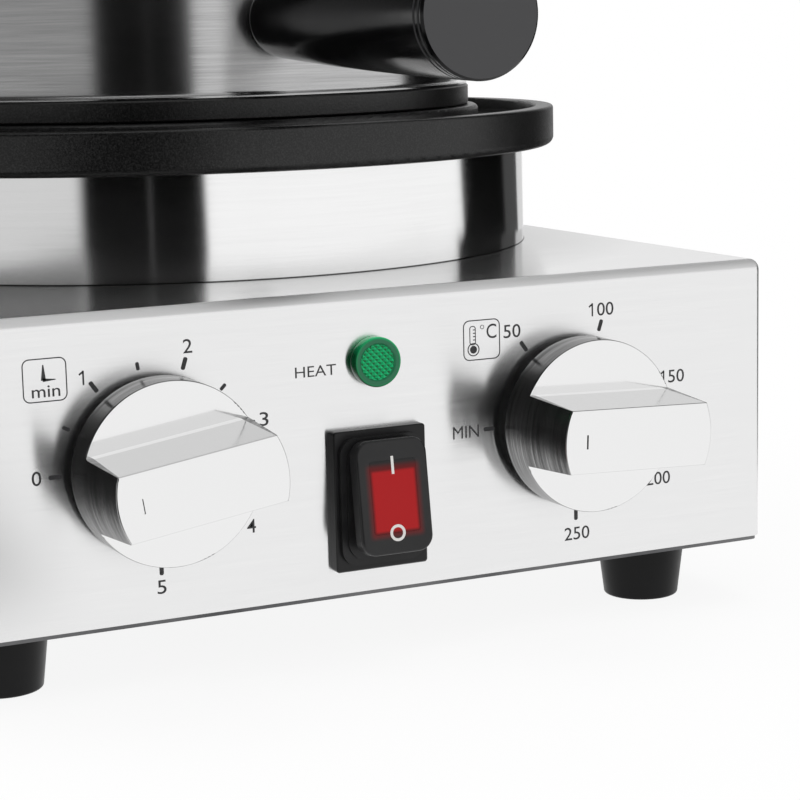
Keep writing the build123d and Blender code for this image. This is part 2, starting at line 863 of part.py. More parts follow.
# Lid drum and handle
def lid_shell():
    """Deep-drawn lid: flat top, rounded edge, straight wall and a small flange at its foot."""
    flange_top = upper_edge_top + lid_flange_sheet
    outer = disc(lid_radius, upper_edge_top, lid_top, 0, axis_y)
    outer = fillet(circles(outer, lid_radius, lid_top), lid_edge_radius)
    outer += disc(lid_flange_radius, upper_edge_top, flange_top, 0, axis_y)
    outer = fillet(circles(outer, lid_radius, flange_top), lid_foot_round)
    outer = fillet(circles(outer, lid_flange_radius, flange_top), lid_flange_round)
    inner = disc(lid_inside, upper_edge_top, lid_top - lid_sheet, 0, axis_y)
    inner = fillet(circles(inner, lid_inside, lid_top - lid_sheet), lid_edge_radius - lid_sheet)
    shell = outer - inner
    front = (0, axis_y - lid_flange_radius, handle_height)
    shell -= rod(handle_bolt_radius + hole_gap, front, (0, axis_y, handle_height))
    for x, z in pad_screw_places():
        shell -= rod(large_screw_radius + fit_gap, (x, axis_y, z), (x, pin_y, z))
    lead_end = (-lead_x, pin_y, lid_lead_z)
    return shell - rod(lead_hole_radius, (-lead_x, axis_y, lid_lead_z), lead_end)


def lid_bridge():
    """Three-armed strap inside the lid, its ends turned down and welded to the wall.

    Its rear arm passes between the nuts of the hinge's screws."""
    foot = bridge_low - bridge_flange
    reach = lid_inside - fit_gap
    arms = Part()
    for x, y in stud_places():
        angle = math.degrees(math.atan2(y - axis_y, x))
        arm = block((0, lid_inside), (-bridge_half_width, bridge_half_width), (foot, bridge_top))
        arms += Pos(0, axis_y, 0) * Rot(0, 0, angle) * arm
    strap = disc(reach, foot, bridge_top, 0, axis_y) & arms
    strap -= disc(reach - bridge_sheet / 2, foot, bridge_low, 0, axis_y)
    for x, y in stud_places():
        strap -= disc(stud_hole_radius, bridge_low, bridge_top, x, y)
    return strap


def handle_grip():
    """Turned phenolic grip: a long bulging cone, rounded at the lid and grooved near its flat end."""
    end_y = front_y - handle_reach
    chamfer_y = end_y + handle_end_chamfer
    round_y = handle_root_y - handle_root_round
    flat_radius = handle_root_radius - handle_root_round
    turn = handle_root_round * (1 - math.sin(math.radians(45)))
    round_middle = (handle_root_radius - turn, handle_root_y - turn)
    side_middle = (handle_middle_radius, (handle_root_y + end_y) / 2)
    outline = [
        Line((0, handle_root_y), (flat_radius, handle_root_y)),
        ThreePointArc((flat_radius, handle_root_y), round_middle, (handle_root_radius, round_y)),
        ThreePointArc((handle_root_radius, round_y), side_middle, (handle_end_radius, chamfer_y)),
        Line((handle_end_radius, chamfer_y), (handle_end_radius - handle_end_chamfer, end_y)),
        Line((handle_end_radius - handle_end_chamfer, end_y), (0, end_y)),
        Line((0, end_y), (0, handle_root_y)),
    ]
    grip = Pos(0, 0, handle_height) * revolve(make_face(outline), Axis.Y)
    groove = Rot(90, 0, 0) * Torus(handle_end_radius, handle_groove_radius)
    for back in handle_grooves_from_end:
        grip -= Pos(0, end_y + back, handle_height) * groove
    bore_end = (0, handle_root_y - handle_bolt_in_grip, handle_height)
    return grip - rod(handle_bolt_radius + fit_gap, (0, handle_root_y, handle_height), bore_end)


def handle_spacer():
    """Steel bush between the grip and the lid's curved wall."""
    start = (0, handle_root_y, handle_height)
    end = (0, axis_y - lid_radius + 2 * handle_stand_off, handle_height)
    radius = handle_spacer_radius
    bush = rod(radius, start, end)
    bush -= disc(lid_radius + fit_gap, handle_height - radius, handle_height + radius, 0, axis_y)
    return bush - rod(handle_bolt_radius + fit_gap, start, end)


nut_seat_y = axis_y - math.sqrt(lid_inside**2 - bolt_washer_radius**2) + 2 * fit_gap
nut_face_y = nut_seat_y + bolt_washer_sheet
nut_end_y = nut_face_y + bolt_nut_height


def handle_bolt():
    """Threaded rod from inside the lid, through the bush, into the grip."""
    inner_end = (0, nut_end_y + stud_past_nut, handle_height)
    grip_end = (0, handle_root_y - handle_bolt_in_grip + 1, handle_height)
    return rod(handle_bolt_radius, inner_end, grip_end)


def handle_nut():
    """Nut and washer on the handle bolt, inside the lid."""
    seat = (0, nut_seat_y, handle_height)
    face = (0, nut_face_y, handle_height)
    end = (0, nut_end_y, handle_height)
    both = rod(bolt_washer_radius, seat, face) + hex_prism(bolt_nut_flats, face, end)
    return both - rod(handle_bolt_radius + fit_gap, seat, end)


# Knobs
def shaft_profile(radius, start, end):
    """Round shaft with one flat, along Y at the origin."""
    bar = rod(radius, (0, start, 0), (0, end, 0))
    return bar - block((-radius, radius), sorted((start, end)), (radius - shaft_flat_cut, 2 * radius))


def knob(x, rest_angle):
    """Cast knob: a hollow flange with a tall grip bar across it and a pointer notch."""
    front, face, back = -knob_front, -knob_flange_face, -knob_back
    into_flange = face + 1.0
    flange = rod(knob_flange_radius, (0, back, 0), (0, face, 0))
    flange = fillet(edges_at_y(flange, face), knob_edge)
    cone = Cone(knob_flange_radius, knob_front_radius, knob_front - knob_flange_face, align=FOOT)
    cone = Pos(0, face, 0) * Rot(90, 0, 0) * cone
    cone += rod(knob_flange_radius, (0, into_flange, 0), (0, face, 0))
    half = [(into_flange, grip_root_half), (face, grip_root_half), (front, grip_front_half)]
    outline = make_face(Polyline(*half, *[(y, -z) for y, z in reversed(half)], close=True))
    bar = cone & extrude(Plane.YZ * outline, 2 * knob_flange_radius, both=True)
    bar = fillet(edges_at_y(bar, front), knob_edge)
    body = flange + bar
    hollow_end = (0, face + knob_wall, 0)
    hollow = rod(knob_flange_radius - knob_wall, (0, back, 0), hollow_end)
    hollow -= rod(knob_hub_radius, (0, back, 0), hollow_end)
    body -= hollow
    body -= shaft_profile(shaft_radius + fit_gap, back, -shaft_length - fit_gap)
    notch_x = notch_from_edge - knob_front_radius
    body -= block(
        (notch_x - notch_half_width, notch_x + notch_half_width),
        (front, front + notch_depth),
        (-notch_half_length, notch_half_length),
    )
    return Pos(x, front_y, knob_z) * Rot(0, -rest_angle, 0) * body


def knob_shaft(x, rest_angle):
    """Shaft of a control, from inside its body to inside the knob."""
    shaft = shaft_profile(shaft_radius, -knob_back, -shaft_length)
    shaft += rod(shaft_radius, (0, body_sheet + shaft_tail, 0), (0, -knob_back, 0))
    return Pos(x, front_y, knob_z) * Rot(0, -rest_angle, 0) * shaft


plate_back = panel_inside + control_plate_sheet
timer_back = plate_back + timer_depth
thermostat_back = plate_back + thermostat_depth
capillary_exit_z = knob_z - capillary_below_knob
bulb_z = lower_core_bottom - bulb_radius - fit_gap


def control_body(x, width, tall, depth):
    """A control behind the panel: case, mounting plate and a bushing round the shaft."""
    case = block(
        (x - width / 2, x + width / 2),
        (plate_back, plate_back + depth),
        (knob_z - tall / 2, knob_z + tall / 2),
    )
    case = chamfer(case.edges(), control_case_chamfer)
    half_width, half_tall = control_plate_half_width, control_plate_half_tall
    case += block(
        (x - half_width, x + half_width),
        (panel_inside, plate_back + control_case_chamfer),
        (knob_z - half_tall, knob_z + half_tall),
    )
    bushing_end = (x, front_y - bushing_front, knob_z)
    case += rod(bushing_radius, (x, plate_back, knob_z), bushing_end)
    case -= rod(shaft_radius + shaft_gap, bushing_end, (x, panel_inside + shaft_tail + 2, knob_z))
    for place_x, place_z in control_screw_places(x):
        hole_end = (place_x, panel_inside + screw_past_sheet + 2, place_z)
        case -= rod(screw_radius + fit_gap, (place_x, panel_inside, place_z), hole_end)
    return case


def tab(x, back, z):
    """A flat tab that stands on the back of a control."""
    return block((x - tab_width / 2, x + tab_width / 2), (back, back + tab_length), (z, z + tab_sheet))


def timer_body():
    """Clockwork timer with its bell at the back."""
    case = control_body(-knob_offset, timer_width, timer_tall, timer_depth)
    bell_back = timer_back + timer_bell_depth
    bell = rod(timer_bell_radius, (-knob_offset, timer_back, knob_z), (-knob_offset, bell_back, knob_z))
    bell = fillet(edges_at_y(bell, bell_back), timer_bell_round)
    tabs = [tab(-knob_offset + side * timer_tab_x, timer_back, knob_z + timer_tab_z) for side in (-1, 1)]
    return case + bell + tabs


def thermostat_body():
    """Capillary thermostat with two blade terminals on its back."""
    case = control_body(knob_offset, thermostat_width, thermostat_tall, thermostat_depth)
    z = knob_z + thermostat_tab_z
    tabs = [tab(knob_offset + side * thermostat_tab_x, thermostat_back, z) for side in (-1, 1)]
    return case + tabs


def control_screws():
    """Four low screws through the panel, hidden behind the knobs."""
    tip_y = panel_inside + screw_past_sheet
    size = (screw_radius, screw_head, control_screw_head_height)
    places = control_screw_places(-knob_offset) + control_screw_places(knob_offset)
    return group(pan_head_screw(*size, (x, front_y, z), (x, tip_y, z)) for x, z in places)


def thermostat_capillary():
    """Sensing bulb against the lower plate, and the thin tube from it to the thermostat."""
    down_x = 3 * capillary_radius - wire_hole_radius
    bulb_start = down_x + 8
    points = [
        (bulb_start, axis_y, bulb_z),
        (down_x, axis_y, bulb_z),
        (down_x, axis_y, body_top - 14),
        (10, axis_y - 50, body_top - 20),
        (knob_offset, thermostat_back + 30, capillary_exit_z + 16),
        (knob_offset, thermostat_back + 14, capillary_exit_z),
        (knob_offset, thermostat_back, capillary_exit_z),
    ]
    path = FilletPolyline(*points, radius=[3.5, 8, 12, 8, 6])
    start = Plane(origin=points[0], z_dir=Vector(-1, 0, 0)) * Circle(capillary_radius)
    tube = sweep(start, path=path)
    bulb = rod(bulb_radius, (bulb_start, axis_y, bulb_z), (bulb_start + bulb_length, axis_y, bulb_z))
    return fillet(bulb.edges().filter_by(GeomType.CIRCLE), bulb_end_round) + tube


# Pilot lamp
def lamp_lens():
    """Green moulded lens: a rim and a low dome outside, a tail through the panel."""
    lens = rod(lamp_radius, (0, front_y, lamp_z), (0, front_y - lamp_front, lamp_z))
    lens = fillet(edges_at_y(lens, front_y - lamp_front), lamp_edge_round)
    tail_end = (0, panel_inside + lamp_tail_length, lamp_z)
    return lens + rod(lamp_tail_radius, (0, front_y, lamp_z), tail_end)


def lamp_body():
    """Lamp holder clipped on the lens's tail, with two leads' tags at its back."""
    start, end = panel_inside + lamp_body_start, panel_inside + lamp_body_end
    tube = rod(lamp_body_radius, (0, start, lamp_z), (0, end, lamp_z))
    socket_end = (0, panel_inside + lamp_tail_length + fit_gap, lamp_z)
    tube -= rod(lamp_tail_radius + fit_gap, (0, start, lamp_z), socket_end)
    half_width = lamp_tag_width / 2
    tag_y, tag_z = (end, end + lamp_tag_length), (lamp_z - tab_sheet / 2, lamp_z + tab_sheet / 2)
    tags = [block((x - half_width, x + half_width), tag_y, tag_z) for x in (-lamp_tag_x, lamp_tag_x)]
    return tube + tags


def lamp_clip():
    """Spring washer that holds the lens's tail behind the panel."""
    start, end = (0, panel_inside, lamp_z), (0, panel_inside + lamp_clip_sheet, lamp_z)
    return rod(lamp_clip_radius, start, end) - rod(lamp_tail_radius + fit_gap, start, end)


# Rocker switch
def switch_slab(width, tall, corner, near, far):
    """A slab with rounded corners, parallel to the front panel, from near to far in front of it."""
    plane = Plane(origin=(0, front_y - near, switch_z), x_dir=(1, 0, 0), z_dir=(0, -1, 0))
    return extrude(plane * RectangleRounded(width, tall, corner), far - near)


def grown(size, by):
    """A width, a height and a corner radius, grown all round."""
    width, tall, corner = size
    return (width + 2 * by, tall + 2 * by, corner + by)


rocker_pivot_y = front_y + rocker_pivot_depth
switch_back = front_y + switch_body_depth


def switch_bezel():
    """Flat black frame that clamps the boot on the panel."""
    frame = switch_slab(bezel_width, bezel_tall, bezel_corner, 0, bezel_front)
    frame = chamfer(edges_at_y(frame, front_y - bezel_front), bezel_chamfer)
    return frame - switch_slab(*grown(boot_opening, skirt_collar + fit_gap), 0, bezel_front)


def switch_boot_skirt():
    """Fixed part of the rubber boot: two steps that stand on the frame, and a collar in it."""
    skirt = switch_slab(*skirt_wide, bezel_front, skirt_step)
    skirt += switch_slab(*skirt_narrow, skirt_step, skirt_front)
    skirt += switch_slab(*grown(boot_opening, skirt_collar), skirt_gap_behind, bezel_front)
    return skirt - switch_slab(*boot_opening, skirt_gap_behind, skirt_front)


def switch_body():
    """Switch case behind the panel: an open front, pivot holes in its cheeks, four blades."""
    case = switch_slab(*switch_body_size, -switch_body_depth, 0)
    case -= switch_slab(*switch_well, -switch_well_depth, 0)
    half = switch_body_size[0] / 2
    bore = trunnion_radius + shaft_gap
    case -= rod(bore, (-half, rocker_pivot_y, switch_z), (half, rocker_pivot_y, switch_z))
    blade_y = (switch_back, switch_back + tab_length)
    for x in (-switch_blade_x, switch_blade_x):
        for z in (switch_z - switch_blade_z, switch_z + switch_blade_z):
            blade_x = (x - tab_sheet / 2, x + tab_sheet / 2)
            case += block(blade_x, blade_y, (z - tab_width / 2, z + tab_width / 2))
    return case


def rocker_at_rest(shape):
    """Turns a rocker piece from level to the ON position, upper half pressed in."""
    turn = Pos(0, rocker_pivot_y, switch_z) * Rot(-rocker_tilt, 0, 0) * Pos(0, -rocker_pivot_y, -switch_z)
    return turn * shape


def rocker_cap():
    """Rocker with its rubber cap: rounded block, stem into the case, and two trunnions."""
    cap = switch_slab(cap_width, cap_tall, cap_corner, cap_back, cap_front)
    cap = fillet(edges_at_y(cap, front_y - cap_front), cap_edge_round)
    cap += switch_slab(*stem_size, -stem_depth, cap_back)
    reach = switch_body_size[0] / 2 - trunnion_end_gap
    cap += rod(trunnion_radius, (-reach, rocker_pivot_y, switch_z), (reach, rocker_pivot_y, switch_z))
    cap -= switch_slab(*grown(lens_size, fit_gap), cap_front - lens_depth, cap_front)
    return rocker_at_rest(cap)


def rocker_lens():
    """Red window set in the cap."""
    return rocker_at_rest(switch_slab(*lens_size, cap_front - lens_depth + fit_gap, cap_front))


# Mains inlet
def cable_gland():
    """Cable gland body and dome nut, bored for the mains lead."""
    start = (gland_x, rear_y - gland_thread_length, gland_z)
    seat = (gland_x, rear_y, gland_z)
    flange_end = (gland_x, rear_y + gland_flange, gland_z)
    end = (gland_x, rear_y + gland_reach, gland_z)
    dome = rod(gland_dome_radius, flange_end, end)
    dome = fillet(edges_at_y(dome, rear_y + gland_reach), gland_dome_round)
    gland = rod(gland_thread_radius, start, seat) + hex_prism(gland_flats, seat, flange_end) + dome
    return gland - rod(gland_bore_radius, start, end)


def gland_nut():
    """Lock nut of the gland, inside the box."""
    end = (gland_x, rear_inside - gland_nut_height, gland_z)
    return nut(gland_nut_flats, gland_thread_radius + fit_gap, (gland_x, rear_inside, gland_z), end)


block_y = rear_y - block_from_rear
earth_y = rear_y - earth_from_rear


def terminal_block():
    """Three-way ceramic terminal block on the bottom plate."""
    low, high = body_bottom, body_bottom + block_tall
    front, back = block_y - block_half_width, block_y + block_half_width
    body = block((block_x - block_half_length, block_x + block_half_length), (front, back), (low, high))
    body = chamfer(body.edges().filter_by(Axis.Z), block_corner)
    wire_z = low + block_wire_height
    for step in (-1, 0, 1):
        x = block_x + step * block_pitch
        for y in (block_y - block_screw_y, block_y + block_screw_y):
            body -= disc(block_screw_radius, high - block_screw_depth, high, x, y)
        for mouth, inner in ((front, front + block_wire_hole_depth), (back, back - block_wire_hole_depth)):
            body -= rod(block_wire_hole_radius, (x, mouth, wire_z), (x, inner, wire_z))
    return body


def earth_terminal():
    """Earth screw through the bottom plate, with its nut."""
    seat = (earth_x, earth_y, foot_height)
    tip = (earth_x, earth_y, body_bottom + earth_screw_above)
    screw = pan_head_screw(large_screw_radius, large_screw_head, large_screw_head_height, seat, tip)
    nut_seat = (earth_x, earth_y, body_bottom + fit_gap)
    return screw + hex_prism(large_nut_flats, nut_seat, (earth_x, earth_y, body_bottom + large_nut_height))


def base_grommet():
    """Grommet in the box's top for the lead to the lid's element."""
    x, y = -lead_x, base_lead_y
    low, high = body_top - grommet_depth, body_top + grommet_lip
    body = disc(grommet_radius, body_top, high, x, y) + disc(lead_hole_radius - fit_gap, low, body_top, x, y)
    body = fillet(circles(body, grommet_radius, high), grommet_round)
    return body - disc(lead_bore_radius, low, high, x, y)


def lid_grommet():
    """Grommet in the lid's rear wall for the same lead."""
    wall_y = axis_y + math.sqrt(lid_radius**2 - lead_x**2)
    place = Pos(-lead_x, wall_y, lid_lead_z) * Rot(-90, 0, 0)
    reach = lid_grommet_reach
    neck = Cylinder(lead_hole_radius - fit_gap, 2 * reach)
    flange = Pos(0, 0, 1) * Cylinder(grommet_radius, reach, align=FOOT)
    bore = Cylinder(lead_bore_radius, 4 * reach)
    low, high = lid_lead_z - 2 * grommet_radius, lid_lead_z + 2 * grommet_radius
    outside = place * (neck + flange - bore) - disc(lid_radius + fit_gap, low, high, 0, axis_y)
    wall = ring(lid_radius + fit_gap, lid_inside - lid_grommet_inside, low, high, 0, axis_y)
    return outside + (place * (neck - bore) & wall)


def wire(points):
    """An insulated wire along straight runs joined by equal bends."""
    path = FilletPolyline(*points, radius=wire_bend)
    start = Vector(*points[0])
    section = Plane(origin=start, z_dir=Vector(*points[1]) - start) * Circle(wire_radius)
    return sweep(section, path=path)


def internal_wires():
    """Wiring from the terminal block to the switch, the timer, the thermostat and the element."""
    block_front = block_y - block_half_width
    wire_z = body_bottom + block_wire_height
    blade_y = switch_back + tab_length
    timer_y, timer_z = timer_back + tab_length, knob_z + timer_tab_z + tab_sheet / 2
    thermo_y, thermo_z = thermostat_back + tab_length, knob_z + thermostat_tab_z + tab_sheet / 2
    timer_left, timer_right = -knob_offset - timer_tab_x, -knob_offset + timer_tab_x
    thermo_left, thermo_right = knob_offset - thermostat_tab_x, knob_offset + thermostat_tab_x
    live_x, neutral_x = block_x - block_pitch, block_x
    (rear_x, rear_tail_y), (front_x, front_tail_y) = tail_places()
    low_blade, high_blade = switch_z - switch_blade_z, switch_z + switch_blade_z
    routes = [
        [
            (live_x, block_front, wire_z),
            (live_x, blade_y + 60, wire_z),
            (switch_blade_x, blade_y + 30, low_blade),
            (switch_blade_x, blade_y, low_blade),
        ],
        [
            (-switch_blade_x, blade_y, high_blade),
            (-switch_blade_x, blade_y + 25, high_blade),
            (timer_right, timer_y + 29, timer_z),
            (timer_right, timer_y, timer_z),
        ],
        [
            (timer_left, timer_y, timer_z),
            (timer_left, timer_y + 34, timer_z),
            (thermo_left, thermo_y + 46, thermo_z),
            (thermo_left, thermo_y, thermo_z),
        ],
        [
            (thermo_right, thermo_y, thermo_z),
            (thermo_right, front_tail_y - 24, thermo_z),
            (front_x, front_tail_y, lower_tail_end - 20),
            (front_x, front_tail_y, lower_tail_end),
        ],
        [
            (neutral_x, block_front, wire_z),
            (neutral_x, block_front - 22, wire_z),
            (rear_x, rear_tail_y, lower_tail_end - 26),
            (rear_x, rear_tail_y, lower_tail_end),
        ],
    ]
    return group(wire(route) for route in routes)


def all_nodes():
    """Every node of the object, by name."""
    drum_lining = drum_radius - drum_sheet - lining_clearance
    lid_lining = lid_inside - lid_fastener_room
    lid_shield_low = lid_insulation_low - shield_sheet
    nodes = {
        "base_shell": base_shell(),
        "base_bottom_plate": bottom_plate(),
        "bottom_plate_screws": bottom_screws(),
        "foot_screws": foot_screws(),
        "foot_nuts": foot_nuts(),
        "lower_drum": lower_drum(),
        "lower_plate": lower_plate(),
        "lower_plate_studs": plate_studs(lower_core_bottom + stud_in_plate, lower_stud_end),
        "lower_plate_nuts": plate_nuts(under_top, under_top - nut_height),
        "lower_heating_element": heating_element(lower_core_bottom, lower_tail_end),
        "lower_element_clamp": element_clamp(lower_element_back - clamp_sheet, lower_element_back),
        "lower_heat_shield": lining(drum_lining, lower_shield_low, lower_shield_low + shield_sheet),
        "lower_insulation": lining(drum_lining, body_top, lower_shield_low),
        "thermostat_body": thermostat_body(),
        "thermostat_capillary": thermostat_capillary(),
        "timer_body": timer_body(),
        "control_screws": control_screws(),
        "lamp_lens": lamp_lens(),
        "lamp_body": lamp_body(),
        "lamp_clip": lamp_clip(),
        "switch_bezel": switch_bezel(),
        "switch_boot_skirt": switch_boot_skirt(),
        "switch_body": switch_body(),
        "terminal_block": terminal_block(),
        "earth_terminal": earth_terminal(),
        "cable_gland": cable_gland(),
        "gland_nut": gland_nut(),
        "internal_wires": internal_wires(),
        "base_lead_grommet": base_grommet(),
        "hinge_bracket": hinge_bracket(),
        "hinge_bracket_screws": bracket_screws(),
        "hinge_bracket_nuts": bracket_nuts(),
        "hinge_pin": hinge_pin(),
        "hinge_pin_clips": pin_clips(),
        "lid_shell": lid_shell(),
        "upper_plate": upper_plate(),
        "upper_heating_element": heating_element(upper_core_top, upper_tail_end),
        "upper_element_clamp": element_clamp(upper_element_back, upper_element_back + clamp_sheet),
        "lid_heat_shield": lining(lid_lining, lid_shield_low, lid_insulation_low),
        "lid_insulation": lining(lid_lining, lid_insulation_low, lid_insulation_top),
        "lid_bridge": lid_bridge(),
        "upper_plate_studs": plate_studs(upper_core_top - stud_in_plate, upper_stud_end),
        "upper_plate_nuts": plate_nuts(bridge_top, bridge_top + nut_height),
        "lid_hinge_arm": lid_hinge_arm(),
        "lid_hinge_screws": lid_hinge_screws(),
        "lid_lead_grommet": lid_grommet(),
        "handle_grip": handle_grip(),
        "handle_bolt": handle_bolt(),
        "handle_spacer": handle_spacer(),
        "handle_nut": handle_nut(),
        "timer_knob": knob(-knob_offset, timer_rest_angle),
        "timer_shaft": knob_shaft(-knob_offset, timer_rest_angle),
        "thermostat_knob": knob(knob_offset, thermostat_rest_angle),
        "thermostat_shaft": knob_shaft(knob_offset, thermostat_rest_angle),
        "rocker_cap": rocker_cap(),
        "rocker_lens": rocker_lens(),
    }
    for name, (x, y) in foot_places().items():
        nodes["foot_" + name] = rubber_foot(x, y)
    return nodes


os.makedirs("parts", exist_ok=True)
for node_name, shape in all_nodes().items():
    export_step(shape, f"parts/{node_name}.step")
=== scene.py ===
import math

import bmesh
import bpy
from mathutils import Matrix, Vector


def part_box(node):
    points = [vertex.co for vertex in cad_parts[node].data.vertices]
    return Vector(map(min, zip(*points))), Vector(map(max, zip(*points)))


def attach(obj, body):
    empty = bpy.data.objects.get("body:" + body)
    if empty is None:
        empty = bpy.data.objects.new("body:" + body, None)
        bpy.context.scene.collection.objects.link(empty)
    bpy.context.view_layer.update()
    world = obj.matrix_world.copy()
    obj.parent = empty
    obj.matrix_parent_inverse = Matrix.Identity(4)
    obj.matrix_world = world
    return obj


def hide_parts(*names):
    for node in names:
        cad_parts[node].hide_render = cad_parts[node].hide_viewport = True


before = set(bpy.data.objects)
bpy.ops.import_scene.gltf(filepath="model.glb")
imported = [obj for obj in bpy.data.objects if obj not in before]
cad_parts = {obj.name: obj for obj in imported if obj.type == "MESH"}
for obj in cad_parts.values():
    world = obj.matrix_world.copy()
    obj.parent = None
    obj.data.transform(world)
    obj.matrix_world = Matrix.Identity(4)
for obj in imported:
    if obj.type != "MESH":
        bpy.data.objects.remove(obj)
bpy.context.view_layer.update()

# Camera
# It stands to the left of the machine and a little above the drum's foot. Its place and angles
# were solved from the edges of the box, the drums, the plates, the knobs and the handle.
camera_place = Vector((-0.243346, -0.655694, 0.168855))
camera_yaw = 0.443790
camera_pitch = 0.168813
camera_roll = 0.023676
camera_lens = 101.195
camera_data = bpy.data.cameras.new("camera")
camera_data.lens = camera_lens
camera_data.sensor_width = 36.0
camera_data.clip_start = 0.01
camera = bpy.data.objects.new("camera", camera_data)
bpy.context.scene.collection.objects.link(camera)
camera_forward = Vector((
    math.sin(camera_yaw) * math.cos(camera_pitch),
    math.cos(camera_yaw) * math.cos(camera_pitch),
    -math.sin(camera_pitch),
))
level_right = Vector((math.cos(camera_yaw), -math.sin(camera_yaw), 0.0))
level_up = level_right.cross(camera_forward)
camera_right = level_right * math.cos(camera_roll) - level_up * math.sin(camera_roll)
camera_up = level_right * math.sin(camera_roll) + level_up * math.cos(camera_roll)
camera_axes = Matrix((camera_right, camera_up, -camera_forward)).transposed()
camera.matrix_world = Matrix.Translation(camera_place) @ camera_axes.to_4x4()
bpy.context.scene.camera = camera
bpy.context.scene.view_settings.view_transform = "Standard"


# Room
# White walls as high as the machine's own reflections reach, with two dark gaps that stand upright
# in the polished drums as bands, a dim stretch above the walls, and a bright roof. Only reflections
# see them: the rest of the light is even.
def add_node(tree, kind, inputs=(), **settings):
    """A node of one kind. Each input is a plain value, or the output of another node."""
    made = tree.nodes.new(kind)
    for setting, value in settings.items():
        setattr(made, setting, value)
    for socket, value in dict(inputs).items():
        if isinstance(value, bpy.types.NodeSocket):
            tree.links.new(value, made.inputs[socket])
        else:
            made.inputs[socket].default_value = value
    return made


def add_sum(tree, operation, first, second=0.0):
    """The output of one sum, such as ADD or MULTIPLY."""
    return add_node(tree, "ShaderNodeMath", {0: first, 1: second}, operation=operation).outputs[0]


def add_range(tree, value, low, high, to_low=0.0, to_high=1.0, steps="LINEAR"):
    """A value carried from one range to another, and held at its ends."""
    inputs = {"Value": value, "From Min": low, "From Max": high}
    inputs.update({"To Min": to_low, "To Max": to_high})
    return add_node(tree, "ShaderNodeMapRange", inputs, interpolation_type=steps).outputs["Result"]


def add_mix(tree, factor, first, second):
    """A value between two others, as a factor from 0 to 1 says."""
    return add_node(tree, "ShaderNodeMix", {0: factor, 2: first, 3: second}).outputs[0]


def add_vector_sum(tree, operation, first, second=(0.0, 0.0, 0.0), result="Vector"):
    """The output of one sum on vectors, such as SUBTRACT. By the name Value it is a number."""
    inputs = {0: first, 1: second}
    return add_node(tree, "ShaderNodeVectorMath", inputs, operation=operation).outputs[result]


def add_split(tree, vector):
    """The three parts of a vector, by the names X, Y and Z."""
    return add_node(tree, "ShaderNodeSeparateXYZ", {0: vector}).outputs


def add_edge(tree, azimuth, middle, soft):
    """Rises from 0 to 1 at an azimuth, over a soft edge. The angles are in degrees."""
    low, high = math.radians(middle - soft), math.radians(middle + soft)
    return add_range(tree, azimuth, low, high, steps="SMOOTHSTEP")


def add_span(tree, azimuth, start, end):
    """1 between two azimuths and 0 outside them. Each end is its middle and how soft it is."""
    return add_sum(tree, "SUBTRACT", add_edge(tree, azimuth, *start), add_edge(tree, azimuth, *end))


wall_level = 0.95
wall_top = (0.52, 0.66)
over_walls = 0.5
roof_edge = (0.86, 0.95)
roof_level = 0.8
left_wall_level = 0.068
left_wall_foot = 0.12
left_gap = ((-47.0, 2.5), (-10.0, 1.0))
left_streak = ((-26.8, 0.4), (-25.6, 0.4))
right_gap = ((82.0, 0.5), (127.0, 1.0))
right_haze = (111.0, 1.5)
gap_level = 0.002
streak_level = 0.045
haze_level = 0.06
grey_wall = ((127.0, 1.0), (141.0, 3.0))
grey_wall_level = 0.66


def add_room(tree, vector, left_foot):
    """The grey of the room in each direction, with azimuth 0 in front of the machine.

    The wall on the left is dark but for its foot, whose level is given."""
    split = add_split(tree, add_vector_sum(tree, "NORMALIZE", vector))
    height = split["Z"]
    azimuth = add_sum(tree, "ARCTAN2", split["X"], add_sum(tree, "MULTIPLY", split["Y"], -1.0))
    lit = add_range(tree, height, *wall_top, wall_level, over_walls, "SMOOTHSTEP")
    left = add_range(tree, height, 0.0, left_wall_foot, left_foot, left_wall_level, "SMOOTHSTEP")
    lit = add_mix(tree, add_edge(tree, azimuth, *left_gap[0]), left, lit)
    lit = add_mix(tree, add_span(tree, azimuth, *grey_wall), lit, grey_wall_level)
    dark = add_mix(tree, add_span(tree, azimuth, *left_streak), gap_level, streak_level)
    dark = add_mix(tree, add_edge(tree, azimuth, *right_haze), dark, haze_level)
    gaps = [add_span(tree, azimuth, *ends) for ends in (left_gap, right_gap)]
    lit = add_mix(tree, add_sum(tree, "ADD", *gaps), lit, dark)
    roof = add_range(tree, height, *roof_edge, steps="SMOOTHSTEP")
    return add_mix(tree, roof, lit, roof_level)


def add_reflected(tree):
    """1 for a ray that comes by reflection or through glass."""
    path = add_node(tree, "ShaderNodeLightPath").outputs
    return add_sum(tree, "MAXIMUM", path["Is Glossy Ray"], path["Is Transmission Ray"])


room_light = 0.7
left_foot = 0.85
world = bpy.data.worlds.new("room")
bpy.context.scene.world = world
world.use_nodes = True
tree = world.node_tree
tree.nodes.clear()
direction = add_node(tree, "ShaderNodeTexCoord").outputs["Generated"]
level = add_mix(tree, add_reflected(tree), room_light, add_room(tree, direction, left_foot))
seen = add_node(tree, "ShaderNodeLightPath").outputs["Is Camera Ray"]
level = add_mix(tree, seen, level, 1.0)
white = (1.0, 1.0, 1.0, 1.0)
background = add_node(tree, "ShaderNodeBackground", {"Color": white, "Strength": level}).outputs[0]
add_node(tree, "ShaderNodeOutputWorld", {"Surface": background})


# Table
# One white sheet under the machine and far beyond it. It keeps the machine's shadow, and in
# reflections it runs on into the room, with the gaps starting a hand's breadth past the machine.
def deselect_all():
    """Leaves edit mode with nothing selected, ready for a new primitive."""
    if bpy.context.object and bpy.context.object.mode != "OBJECT":
        bpy.ops.object.mode_set(mode="OBJECT")
    bpy.ops.object.select_all(action="DESELECT")


